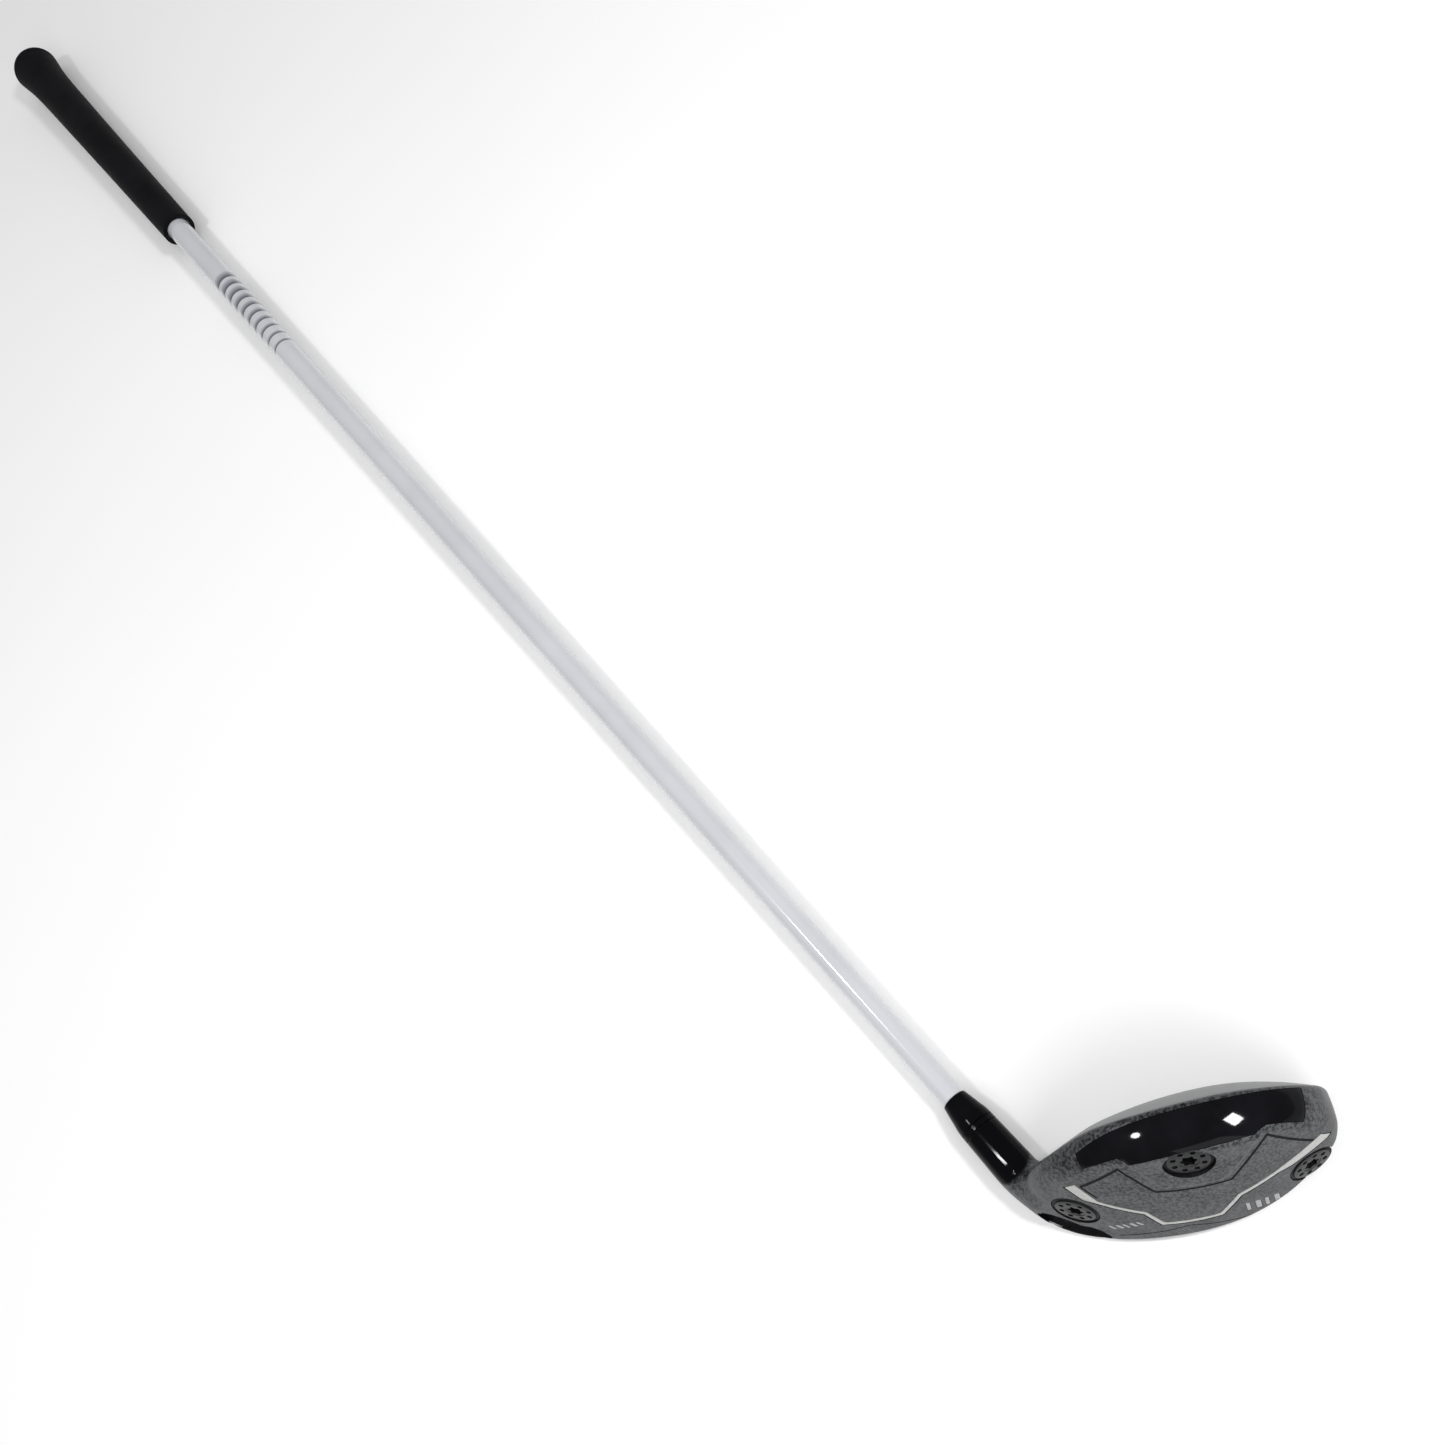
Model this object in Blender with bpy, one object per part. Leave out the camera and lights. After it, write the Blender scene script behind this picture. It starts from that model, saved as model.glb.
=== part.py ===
"""Hybrid golf club with an adjustable hosel and three screw-in sole weights.

The club is modelled in its address frame, in metres: +X runs from the heel to the
toe, +Y towards the target, +Z up, and the shaft axis meets the ground near the
origin. An empty then lays the finished club face down on the ground, as it lies
when it is put down, with world +X running from the grip to the head.
"""

import math

import bmesh
import bpy
from mathutils import Matrix, Vector

MM = 0.001
GAP = 0.3 * MM  # between pieces that touch

# Driving dimensions, in metres and degrees.
LIE = math.radians(59.5)  # shaft axis above the ground at address
CLUB_LENGTH = 1014.0 * MM  # ground to the end of the cap, along the shaft axis
SEAM = 50.0 * MM  # top of the hosel, along the shaft axis
FERRULE_TOP = 65.4 * MM
GRIP_MOUTH = 770.0 * MM
CAP_START = 1003.5 * MM
TIP_END = 33.0 * MM  # lower end of the shaft, inside the sleeve
BUTT_END = 1002.0 * MM  # upper end of the shaft, inside the grip

SHAFT_TIP_R = 4.7 * MM
SHAFT_MOUTH_R = 6.9 * MM  # at the mouth of the grip
SHAFT_BUTT_R = 7.6 * MM
SHAFT_WALL = 1.2 * MM
HOSEL_TOP_R = 7.3 * MM
HOSEL_BASE_R = 7.8 * MM
SLEEVE_R = 5.7 * MM
SOCKET_R = 5.0 * MM  # shaft socket in the sleeve
SCREW_R = 2.4 * MM
SCREW_HEAD_R = 4.4 * MM
PORT_R = 5.0 * MM  # screw port, from the sole up to the hosel floor
FLOOR_LOW = 19.8 * MM  # hosel floor that the screw clamps against
FLOOR_HIGH = 22.8 * MM
SLEEVE_LOW = 24.4 * MM

CAP_R = 14.7 * MM
GRIP_MOUTH_R = 9.9 * MM
GRIP_BUTT_R = 12.8 * MM
VENT_R = 1.5 * MM

WEIGHT_R = 8.35 * MM
WEIGHT_DEPTH = 5.2 * MM
BOSS_R = 10.6 * MM
BOSS_DEPTH = 8.4 * MM
WALL = 2.0  # head wall, in millimetres like the head's surfaces below

# The club lying on the ground: turns of the shaft frame, and the height of its origin.
REST_ROLL = math.radians(-7.202)
REST_PITCH = math.radians(0.392)
REST_HEIGHT = 7.743 * MM
REST_CENTRE = (488.116 * MM, -42.145 * MM)

# Sole weights: centre of the outer face in millimetres, and its outward direction.
WEIGHTS = {
    "heel_weight": ((2.9, -13.5, 7.3), (-0.389, -0.286, -0.875)),
    "toe_weight": ((83.7, -13.5, 7.7), (0.391, -0.223, -0.893)),
    "rear_weight": ((46.1, -48.2, 11.4), (-0.013, -0.372, -0.928)),
}

# Head outline seen from above, in millimetres: the rear edge from heel to toe.
REAR_EDGE = [
    (-12.0, -6.0),
    (-9.5, -19.0),
    (-1.0, -33.5),
    (10.8, -44.3),
    (24.0, -52.3),
    (40.0, -57.4),
    (57.0, -57.3),
    (73.0, -52.8),
    (85.5, -43.5),
    (92.0, -32.0),
    (95.2, -23.0),
]
# The leading edge, where the sole meets the face, from heel to toe.
LEADING_EDGE = [
    (-12.0, 3.5),
    (-8.0, 6.3),
    (-2.0, 7.6),
    (7.0, 6.0),
    (15.0, 4.4),
    (25.0, 2.6),
    (35.0, 1.4),
    (55.0, 1.4),
    (65.0, 0.5),
    (76.0, -2.8),
    (83.0, -6.4),
    (89.0, -10.2),
    (92.5, -13.2),
    (95.2, -16.8),
]
STATIONS = [-11.5, -8.0, -2.0, 6.0, 15.0, 25.0, 35.0, 45.0, 55.0, 65.0, 75.0, 83.0, 88.5, 92.5, 94.8]
INNER_STATIONS = [0.0, 8.0, 15.0, 25.0, 35.0, 45.0, 55.0, 65.0, 75.0, 83.0, 88.0, 94.5]


# ---------------------------------------------------------------- head surfaces (mm)


def sole_z(x, y):
    """Height of the sole: cambered from heel to toe, rising towards the rear."""
    back = 4.0 - y
    camber = (x - 39.5) ** 2 / (175.0 if x < 39.5 else 190.0)
    rise = 0.272 * back + (0.00142 if back > 0 else 0.02) * back * back
    return -6.6 + camber + rise + 0.0016 * back * (43.0 - x)


def crown_z(x, y):
    """Height of the crown: highest behind the face, falling towards the rear."""
    ridge = 38.95 - (0.0033 if x < 55.0 else 0.0052) * (x - 55.0) ** 2
    behind = max(0.0, -8.0 - y)
    return ridge - 0.0044 * behind * behind


def along(outline, x):
    """Depth y of an outline at a station, between its listed points."""
    for (x0, y0), (x1, y1) in zip(outline, outline[1:]):
        if x <= x1:
            return y0 + (y1 - y0) * (x - x0) / (x1 - x0)
    return outline[-1][1]


def rear_y(x):
    return along(REAR_EDGE, x)


def lead_y(x):
    return along(LEADING_EDGE, x)


def face_y(x, z):
    """Front of the head: lofted back with height from the leading edge, slightly rolled."""
    height = z - sole_z(x, lead_y(x))
    return lead_y(x) + 1.2 - height * math.tan(math.radians(14.0)) - (height - 20.0) ** 2 / 640.0


def top_front_y(x):
    """Where the crown meets the face."""
    return face_y(x, crown_z(x, -9.0))


def skirt_y(x, z):
    """Rear wall between the sole and the crown, swelling slightly at mid height."""
    low, high = sole_z(x, rear_y(x)), crown_z(x, rear_y(x))
    share = min(1.0, max(0.0, (z - low) / (high - low)))
    return rear_y(x) + 0.8 * (1.0 - share) - 1.3 * math.sin(math.pi * share)


def section(x, inset):
    """Closed outline of the head at one station, thinned by inset all round."""
    rear = rear_y(x) + inset
    low_front = lead_y(x) - inset
    points = []
    for step in range(7):
        y = low_front + (rear + 0.8 - low_front) * step / 6
        points.append((y, sole_z(x, y) + inset))
    low, high = sole_z(x, rear) + inset, crown_z(x, rear) - inset
    for share in (0.25, 0.5, 0.75):
        z = low + (high - low) * share
        points.append((skirt_y(x, z) + inset, z))
    high_front = top_front_y(x) - 0.6 - inset
    for step in range(6):
        y = rear + (high_front - rear) * step / 5
        points.append((y, crown_z(x, y) - inset))
    top, bottom = points[-1][1], points[0][1]
    for share in (0.08, 0.36, 0.64, 0.92):
        z = top + (bottom - top) * share
        points.append((face_y(x, z) - inset, z))
    return [Vector((x * MM, y * MM, z * MM)) for y, z in points]


# ---------------------------------------------------------------- building tools


def clear_scene():
    for obj in list(bpy.data.objects):
        bpy.data.objects.remove(obj, do_unlink=True)


def material(name, colour, roughness, metallic):
    mat = bpy.data.materials.new(name)
    mat.use_nodes = True
    shader = mat.node_tree.nodes["Principled BSDF"]
    shader.inputs["Base Color"].default_value = (*colour, 1.0)
    shader.inputs["Roughness"].default_value = roughness
    shader.inputs["Metallic"].default_value = metallic
    return mat


def empty(name, parent=None, matrix=None):
    obj = bpy.data.objects.new(name, None)
    bpy.context.scene.collection.objects.link(obj)
    obj.empty_display_size = 0.01
    obj.parent = parent
    obj.matrix_local = matrix or Matrix.Identity(4)
    return obj


def frame_along(direction, origin):
    """A matrix whose +Z is the direction, with its origin at a point."""
    turn = Vector(direction).normalized().to_track_quat("Z", "Y").to_matrix().to_4x4()
    return Matrix.Translation(origin) @ turn


def add_object(name, bm, parent, mat=None):
    bmesh.ops.recalc_face_normals(bm, faces=bm.faces)
    mesh = bpy.data.meshes.new(name)
    bm.to_mesh(mesh)
    bm.free()
    mesh.shade_smooth()
    mesh.set_sharp_from_angle(angle=math.radians(32))
    obj = bpy.data.objects.new(name, mesh)
    bpy.context.scene.collection.objects.link(obj)
    obj.parent = parent
    if mat:
        mesh.materials.append(mat)
    return obj


def helper(obj):
    obj.hide_render = True
    obj.display_type = "WIRE"
    return obj


def boolean(target, tool, operation="DIFFERENCE"):
    modifier = target.modifiers.new(operation.lower(), "BOOLEAN")
    modifier.operation = operation
    modifier.solver = "EXACT"
    modifier.object = tool


def ring(bm, radius, height, segments):
    turn = 2 * math.pi / segments
    return [
        bm.verts.new((radius * math.cos(i * turn), radius * math.sin(i * turn), height))
        for i in range(segments)
    ]


def bridge(bm, low, high):
    count = len(low)
    for i in range(count):
        j = (i + 1) % count
        bm.faces.new((low[i], low[j], high[j], high[i]))


def turned(name, profile, parent, mat=None, segments=24, closed=False):
    """A turned solid about local Z from (height, radius) pairs.

    An open profile is capped flat at both ends; a closed one runs round a hollow wall.
    """
    bm = bmesh.new()
    rings = [ring(bm, radius, height, segments) for height, radius in profile]
    for low, high in zip(rings, rings[1:]):
        bridge(bm, low, high)
    if closed:
        bridge(bm, rings[-1], rings[0])
    else:
        bm.faces.new(rings[0])
        bm.faces.new(rings[-1])
    return add_object(name, bm, parent, mat)


def head_blank(name, inset, stations, parent):
    """The head's outer form, or the form inside its wall when inset is the wall."""
    bm = bmesh.new()
    stations = [stations[0] + inset, *stations[1:-1], stations[-1] - inset]
    loops = [[bm.verts.new(point) for point in section(x, inset)] for x in stations]
    for low, high in zip(loops, loops[1:]):
        bridge(bm, low, high)
    for loop in (loops[0], loops[-1]):
        middle = bm.verts.new(sum((v.co for v in loop), Vector()) / len(loop))
        for a, b in zip(loop, loop[1:] + loop[:1]):
            bm.faces.new((a, b, middle))
    bmesh.ops.triangulate(bm, faces=bm.faces)
    return add_object(name, bm, parent)


def sheet(name, columns, outside, inside, parent, mat=None):
    """A curved plate: each column's points, carried to its outside and inside surface."""
    bm = bmesh.new()
    layers = []
    for surface in (outside, inside):
        layers.append([[bm.verts.new(Vector(surface(*p)) * MM) for p in column] for column in columns])
    rows = len(columns[0])
    for layer in layers:
        for left, right in zip(layer, layer[1:]):
            for i in range(rows - 1):
                bm.faces.new((left[i], right[i], right[i + 1], left[i + 1]))
    front, back = layers
    last = len(columns) - 1
    rim = [(c, 0) for c in range(last + 1)] + [(last, r) for r in range(1, rows)]
    rim += [(c, rows - 1) for c in range(last - 1, -1, -1)] + [(0, r) for r in range(rows - 2, 0, -1)]
    bridge(bm, [front[c][r] for c, r in rim], [back[c][r] for c, r in rim])
    bmesh.ops.triangulate(bm, faces=bm.faces)
    return add_object(name, bm, parent, mat)


# ---------------------------------------------------------------- panels of the head (mm)


def spread(low, high, count):
    return [low + (high - low) * i / (count - 1) for i in range(count)]


def crown_columns(grow):
    """Points (x, y) over the crown panel, which stops short of the head's edges."""
    columns = []
    for x in [5.5 - grow, 11.0, 18.0, 27.0, 37.0, 47.0, 57.0, 67.0, 76.0, 83.0, 88.5, 91.5 + grow]:
        front, rear = top_front_y(x) - 2.8 + grow, rear_y(x) + 2.6 - grow
        columns.append([(x, y) for y in spread(front, rear, 7)])
    return columns


def band_columns(grow):
    """Points (x, z) over the rear skirt panel, with a shallow notch near each end."""
    low = [(9.5, 17.3), (17.0, 17.2), (24.0, 16.9), (26.9, 16.2), (40.0, 16.6), (50.0, 16.7)]
    low += [(60.0, 16.5), (71.5, 16.6), (74.2, 17.9), (81.0, 18.4), (87.0, 19.1)]
    columns = []
    for x, z in low:
        x += grow if x > 85 else (-grow if x < 10 else 0.0)
        top = crown_z(x, rear_y(x)) - 0.9
        columns.append([(x, level) for level in spread(z - grow, top + grow, 5)])
    return columns


def face_columns(grow):
    """Points (x, z) over the face plate, whose lower edge rises over the toe weight."""
    columns = []
    for x in [9.0 - grow, 14.0, 24.0, 36.0, 48.0, 60.0, 68.0, 76.0, 84.0 + grow]:
        low = sole_z(x, lead_y(x)) + 4.0 + 0.5 * max(0.0, 14.0 - x) + 0.8 * max(0.0, x - 66.0)
        high = crown_z(x, -9.0) - 3.2 - 0.5 * max(0.0, x - 76.0)
        columns.append([(x, z) for z in spread(low - grow, high + grow, 5)])
    return columns


# Each panel's outline, its thickness, the depth of its opening, and its surface.
PANELS = {
    "crown": (crown_columns, 1.3, WALL + 1.2, lambda x, y, sink: (x, y, crown_z(x, y) - sink)),
    "rear_skirt_panel": (band_columns, 1.0, 1.3, lambda x, z, sink: (x, skirt_y(x, z) + sink, z)),
    "face_plate": (face_columns, 2.2, WALL + 1.2, lambda x, z, sink: (x, face_y(x, z) - sink, z)),
}


# ---------------------------------------------------------------- head


def panel(name, grow, proud, depth, parent, mat=None):
    """A panel of the head's skin, or the opening it leaves when grown and deepened."""
    columns, _, _, surface = PANELS[name.removesuffix("_opening")]
    outside, inside = (lambda a, b: surface(a, b, -proud)), (lambda a, b: surface(a, b, depth))
    return sheet(name, columns(grow), outside, inside, parent, mat)


def build_head(club, axis, ports, mats):
    hosel_profile = [(15.0 * MM, 6.4 * MM), (20.0 * MM, 7.6 * MM)]
    hosel_profile += [(33.0 * MM, HOSEL_BASE_R), (SEAM, HOSEL_TOP_R)]
    hosel = helper(turned("hosel_form", hosel_profile, axis, segments=28))

    # The hollow, less the tube around the screw and the bosses behind the weight ports.
    hollow = helper(head_blank("hollow_form", WALL, INNER_STATIONS, club))
    tube_ends = [(-9.0 * MM, 8.6 * MM), (40.0 * MM, 8.6 * MM)]
    boolean(hollow, helper(turned("screw_tube", tube_ends, axis, segments=20)))
    for name, port in ports.items():
        boss = [(-BOSS_DEPTH, BOSS_R), (6.0 * MM, BOSS_R)]
        boolean(hollow, helper(turned(name + "_boss", boss, port, segments=20)))

    body = head_blank("head_body", 0.0, STATIONS, club)
    body.data.materials.append(mats["head_steel"])
    boolean(body, hosel, "UNION")
    boolean(body, hollow)
    panel_mats = {"crown": "crown_paint", "rear_skirt_panel": "gloss_black", "face_plate": "face_steel"}
    for name, (_, thickness, depth, _) in PANELS.items():
        panel(name, 0.0, 0.0, thickness, club, mats[panel_mats[name]])
        boolean(body, helper(panel(name + "_opening", 0.3, 1.5, depth, club)))
    for name, port in ports.items():
        bore = [(-WEIGHT_DEPTH - GAP, WEIGHT_R + GAP), (6.0 * MM, WEIGHT_R + GAP)]
        boolean(body, helper(turned(name + "_port", bore, port, segments=24)))
    hosel_bore = [(-12.0 * MM, PORT_R), (FLOOR_LOW, PORT_R), (FLOOR_LOW, SCREW_R + 0.4 * MM)]
    hosel_bore += [(FLOOR_HIGH, SCREW_R + 0.4 * MM), (FLOOR_HIGH, SLEEVE_R + GAP)]
    hosel_bore += [(SEAM + 4.0 * MM, SLEEVE_R + GAP)]
    boolean(body, helper(turned("hosel_bore", hosel_bore, axis, segments=24)))


def build_weights(ports, mats):
    for name, port in ports.items():
        chamfer = 0.5 * MM
        profile = [(-WEIGHT_DEPTH, WEIGHT_R - chamfer), (-WEIGHT_DEPTH + chamfer, WEIGHT_R)]
        profile += [(-chamfer, WEIGHT_R), (0.0, WEIGHT_R - chamfer)]
        weight = turned(name, profile, port, mats["weight_metal"], segments=24)
        socket = [(-3.0 * MM, 2.0 * MM), (1.0 * MM, 2.0 * MM)]
        boolean(weight, helper(turned(name + "_socket", socket, port, segments=6)))


# ---------------------------------------------------------------- hosel parts and shaft


def shaft_radius(height):
    """Outside of the shaft: parallel tip, then an even taper to the butt."""
    taper_start = FERRULE_TOP
    if height <= taper_start:
        return SHAFT_TIP_R
    if height <= GRIP_MOUTH:
        share = (height - taper_start) / (GRIP_MOUTH - taper_start)
        return SHAFT_TIP_R + (SHAFT_MOUTH_R - SHAFT_TIP_R) * share
    share = (height - GRIP_MOUTH) / (BUTT_END - GRIP_MOUTH)
    return SHAFT_MOUTH_R + (SHAFT_BUTT_R - SHAFT_MOUTH_R) * share


def tube(name, heights, outside, inside, parent, mat, segments=24):
    """A hollow turned piece between two radius functions of the height."""
    out = [(h, outside(h)) for h in heights]
    back = [(h, inside(h)) for h in reversed(heights)]
    return turned(name, out + back, parent, mat, segments, closed=True)


def build_hosel_parts(axis, mats):
    sleeve = [(SLEEVE_LOW, SLEEVE_R), (SEAM + GAP, SLEEVE_R), (SEAM + GAP, HOSEL_TOP_R)]
    collar_top = SEAM + 2.4 * MM
    sleeve += [(collar_top, HOSEL_TOP_R), (collar_top, SOCKET_R), (TIP_END - 1.0 * MM, SOCKET_R)]
    sleeve += [(TIP_END - 1.0 * MM, SCREW_R + GAP), (SLEEVE_LOW, SCREW_R + GAP)]
    turned("adapter_sleeve", sleeve, axis, mats["gloss_black"], closed=True)

    low = collar_top + GAP
    ferrule = [(low, HOSEL_TOP_R), (low + 1.5 * MM, 7.15 * MM), (low + 5.5 * MM, 6.5 * MM)]
    ferrule += [(low + 9.0 * MM, 5.95 * MM), (FERRULE_TOP - 0.6 * MM, 5.5 * MM)]
    ferrule += [(FERRULE_TOP, 5.25 * MM), (FERRULE_TOP, SOCKET_R), (low, SOCKET_R)]
    turned("ferrule", ferrule, axis, mats["gloss_black"], closed=True)

    head_top = FLOOR_LOW - 0.8 * MM - 2 * GAP
    head_low = head_top - 4.0 * MM
    socket_r, socket_depth = 1.9 * MM, 2.6 * MM
    screw = [(head_low + socket_depth, socket_r), (head_low, socket_r), (head_low, SCREW_HEAD_R - 0.4 * MM)]
    screw += [(head_low + 0.4 * MM, SCREW_HEAD_R), (head_top, SCREW_HEAD_R), (head_top, SCREW_R)]
    screw += [(TIP_END - 2.6 * MM, SCREW_R), (TIP_END - 2.0 * MM, SCREW_R - 0.6 * MM)]
    turned("hosel_screw", screw, axis, mats["screw_steel"], segments=20)

    washer = [(FLOOR_LOW - GAP - 0.8 * MM, 4.6 * MM), (FLOOR_LOW - GAP, 4.6 * MM)]
    washer += [(FLOOR_LOW - GAP, SCREW_R + GAP), (FLOOR_LOW - GAP - 0.8 * MM, SCREW_R + GAP)]
    turned("screw_washer", washer, axis, mats["screw_steel"], segments=20, closed=True)

    retainer = [(FLOOR_HIGH + GAP, 5.4 * MM), (SLEEVE_LOW - GAP, 5.4 * MM)]
    retainer += [(SLEEVE_LOW - GAP, SCREW_R + GAP), (FLOOR_HIGH + GAP, SCREW_R + GAP)]
    turned("screw_retainer", retainer, axis, mats["retainer_rubber"], segments=20, closed=True)


def build_shaft(axis, mats):
    heights = [TIP_END, SEAM, FERRULE_TOP, 300 * MM, 540 * MM, GRIP_MOUTH, BUTT_END]
    tube("shaft", heights, shaft_radius, lambda h: shaft_radius(h) - SHAFT_WALL, axis, mats["shaft_white"])
    plug_r = SHAFT_TIP_R - SHAFT_WALL - GAP
    plug = [(TIP_END + 0.5 * MM, plug_r), (TIP_END + 7.5 * MM, plug_r)]
    turned("tip_plug", plug, axis, mats["plug_plastic"], segments=16)


def build_grip(axis, mats):
    tape_inside, tape_outside, grip_inside = GAP, 0.65 * MM, 0.95 * MM
    heights = [GRIP_MOUTH + 2 * MM, 880 * MM, BUTT_END - 2 * MM]
    tube("grip_tape", heights, lambda h: shaft_radius(h) + tape_outside,
         lambda h: shaft_radius(h) + tape_inside, axis, mats["tape_paper"], segments=20)

    grip_end = CAP_START - GAP
    outside = [(GRIP_MOUTH, GRIP_MOUTH_R - 0.7 * MM), (GRIP_MOUTH + 1.2 * MM, GRIP_MOUTH_R)]
    outside += [(860 * MM, 10.7 * MM), (930 * MM, 11.6 * MM), (980 * MM, GRIP_BUTT_R - 0.2 * MM)]
    outside += [(994 * MM, 13.6 * MM), (grip_end, 14.5 * MM)]
    inside = [(grip_end, SHAFT_BUTT_R + grip_inside), (GRIP_MOUTH, SHAFT_MOUTH_R + grip_inside)]
    turned("grip", outside + inside, axis, mats["grip_rubber"], segments=28, closed=True)

    low, top = CAP_START, CLUB_LENGTH
    cap = [(low, CAP_R - 0.1 * MM), (low + 3 * MM, CAP_R), (low + 6.5 * MM, 13.4 * MM)]
    cap += [(low + 9.2 * MM, 10.6 * MM), (top, 7.6 * MM), (top, VENT_R), (low, VENT_R)]
    turned("grip_cap", cap, axis, mats["grip_rubber"], segments=28, closed=True)


# ---------------------------------------------------------------- assembly


def lying_pose():
    """Address frame to world: the shaft along X, the back of the head upwards."""
    shaft = Vector((-math.cos(LIE), 0.0, math.sin(LIE)))
    to_world = Matrix((-shaft, Vector((math.sin(LIE), 0.0, math.cos(LIE))), Vector((0.0, -1.0, 0.0))))
    trim = Matrix.Rotation(REST_PITCH, 4, "Y") @ Matrix.Rotation(REST_ROLL, 4, "X")
    place = Matrix.Translation((REST_CENTRE[0], REST_CENTRE[1], REST_HEIGHT))
    return place @ trim @ to_world.to_4x4()


def main():
    clear_scene()
    mats = {
        "head_steel": material("head_steel", (0.17, 0.175, 0.18), 0.42, 1.0),
        "face_steel": material("face_steel", (0.30, 0.30, 0.31), 0.35, 1.0),
        "crown_paint": material("crown_paint", (0.24, 0.245, 0.25), 0.55, 0.3),
        "gloss_black": material("gloss_black", (0.006, 0.006, 0.007), 0.08, 0.0),
        "weight_metal": material("weight_metal", (0.08, 0.082, 0.085), 0.45, 1.0),
        "screw_steel": material("screw_steel", (0.32, 0.32, 0.33), 0.3, 1.0),
        "retainer_rubber": material("retainer_rubber", (0.02, 0.02, 0.02), 0.7, 0.0),
        "shaft_white": material("shaft_white", (0.80, 0.81, 0.82), 0.2, 0.0),
        "plug_plastic": material("plug_plastic", (0.6, 0.55, 0.4), 0.6, 0.0),
        "tape_paper": material("tape_paper", (0.55, 0.5, 0.4), 0.8, 0.0),
        "grip_rubber": material("grip_rubber", (0.012, 0.012, 0.015), 0.65, 0.0),
    }
    club = empty("club", matrix=lying_pose())
    shaft_direction = (-math.cos(LIE), 0.0, math.sin(LIE))
    axis = empty("shaft_axis", club, frame_along(shaft_direction, (0.0, 0.0, 0.0)))
    ports = {
        name: empty(name + "_port_axis", club, frame_along(out, Vector(centre) * MM))
        for name, (centre, out) in WEIGHTS.items()
    }
    build_head(club, axis, ports, mats)
    build_weights(ports, mats)
    build_hosel_parts(axis, mats)
    build_shaft(axis, mats)
    build_grip(axis, mats)


main()
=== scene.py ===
"""Looks for the hybrid golf club: fine head shell, inlays, weights, shaft, grip, floor and light.

Everything on the club is laid out in the club's address frame, in millimetres: +X from
heel to toe, +Y towards the target, +Z up, with the shaft axis through the origin. One
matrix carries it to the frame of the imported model, in metres.
"""

import math

import bmesh
import bpy
import numpy as np
from mathutils import Matrix, Vector


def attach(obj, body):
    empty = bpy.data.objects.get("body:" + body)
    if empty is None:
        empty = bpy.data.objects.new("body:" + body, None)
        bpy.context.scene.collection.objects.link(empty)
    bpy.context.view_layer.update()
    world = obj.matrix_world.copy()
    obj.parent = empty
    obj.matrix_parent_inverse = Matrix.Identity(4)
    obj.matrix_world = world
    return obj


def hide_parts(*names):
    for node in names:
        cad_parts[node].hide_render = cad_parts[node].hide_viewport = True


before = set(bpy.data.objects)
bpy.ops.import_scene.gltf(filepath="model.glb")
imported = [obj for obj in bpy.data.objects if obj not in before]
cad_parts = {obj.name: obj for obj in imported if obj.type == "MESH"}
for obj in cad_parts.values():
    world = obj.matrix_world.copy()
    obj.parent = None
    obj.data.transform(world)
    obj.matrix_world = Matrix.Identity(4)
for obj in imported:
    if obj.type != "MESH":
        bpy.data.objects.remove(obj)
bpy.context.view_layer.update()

# ---------------------------------------------------------------- dimensions (mm, degrees)

LIE = math.radians(59.5)
SHAFT = np.array([-math.cos(LIE), 0.0, math.sin(LIE)])
REST_ROLL = math.radians(-7.202)
REST_PITCH = math.radians(0.392)
REST_ORIGIN = (0.488116, -0.042145, 0.007743)  # where the club's origin lies, in metres

MM = 0.001
CLUB_LENGTH = 1014.0
GRIP_MOUTH = 770.0
CAP_START = 1003.5
TIP_END = 33.0
BUTT_END = 1002.0
SLEEVE_LOW = 24.4
SHAFT_TIP_R = 4.7
SHAFT_MOUTH_R = 6.9
SHAFT_BUTT_R = 7.6
SHAFT_WALL = 1.2
SOCKET_R = 5.0
SCREW_R = 2.4
SCREW_HEAD_R = 4.4
CAP_R = 14.6
GRIP_MOUTH_R = 9.85
VENT_R = 1.6
DIMPLE_RING = 5.2
DIMPLE_R = 0.95
# Outlines of the turned pieces: distance along the shaft axis, and radius.
FERRULE_PROFILE = [
    (53.2, 7.2), (55.8, 6.95), (58.0, 6.5), (61.0, 5.95), (63.0, 5.55), (64.4, 5.28), (65.2, 5.12),
]
GRIP_PROFILE = [
    (770.7, 9.7), (772.5, 9.8), (800.0, 10.05), (860.0, 10.65), (930.0, 11.5), (970.0, 12.1),
    (985.0, 12.75), (995.0, 13.6), (1001.0, 14.2), (1003.2, 14.35),
]
CAP_PROFILE = [
    (1004.6, 14.55), (1006.3, 14.6), (1008.2, 14.2), (1010.0, 13.3), (1012.0, 11.4), (1013.4, 9.0),
    (1013.95, 7.6),
]

SEAM = 50.0
FERRULE_TOP = 65.4
HOSEL_TOP_R = 7.3
PORT_R = 5.0
FLOOR_LOW = 19.8
FLOOR_HIGH = 22.8
SLEEVE_R = 5.7
GAP = 0.3

WEIGHT_R = 8.35
WEIGHT_DEPTH = 5.2
WEIGHTS = {
    "heel_weight": ((2.9, -13.5, 7.3), (-0.389, -0.286, -0.875)),
    "toe_weight": ((83.7, -13.5, 7.7), (0.391, -0.223, -0.893)),
    "rear_weight": ((46.1, -48.2, 11.4), (-0.013, -0.372, -0.928)),
}

CELL = 0.6  # grid spacing of the head's skin

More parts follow.
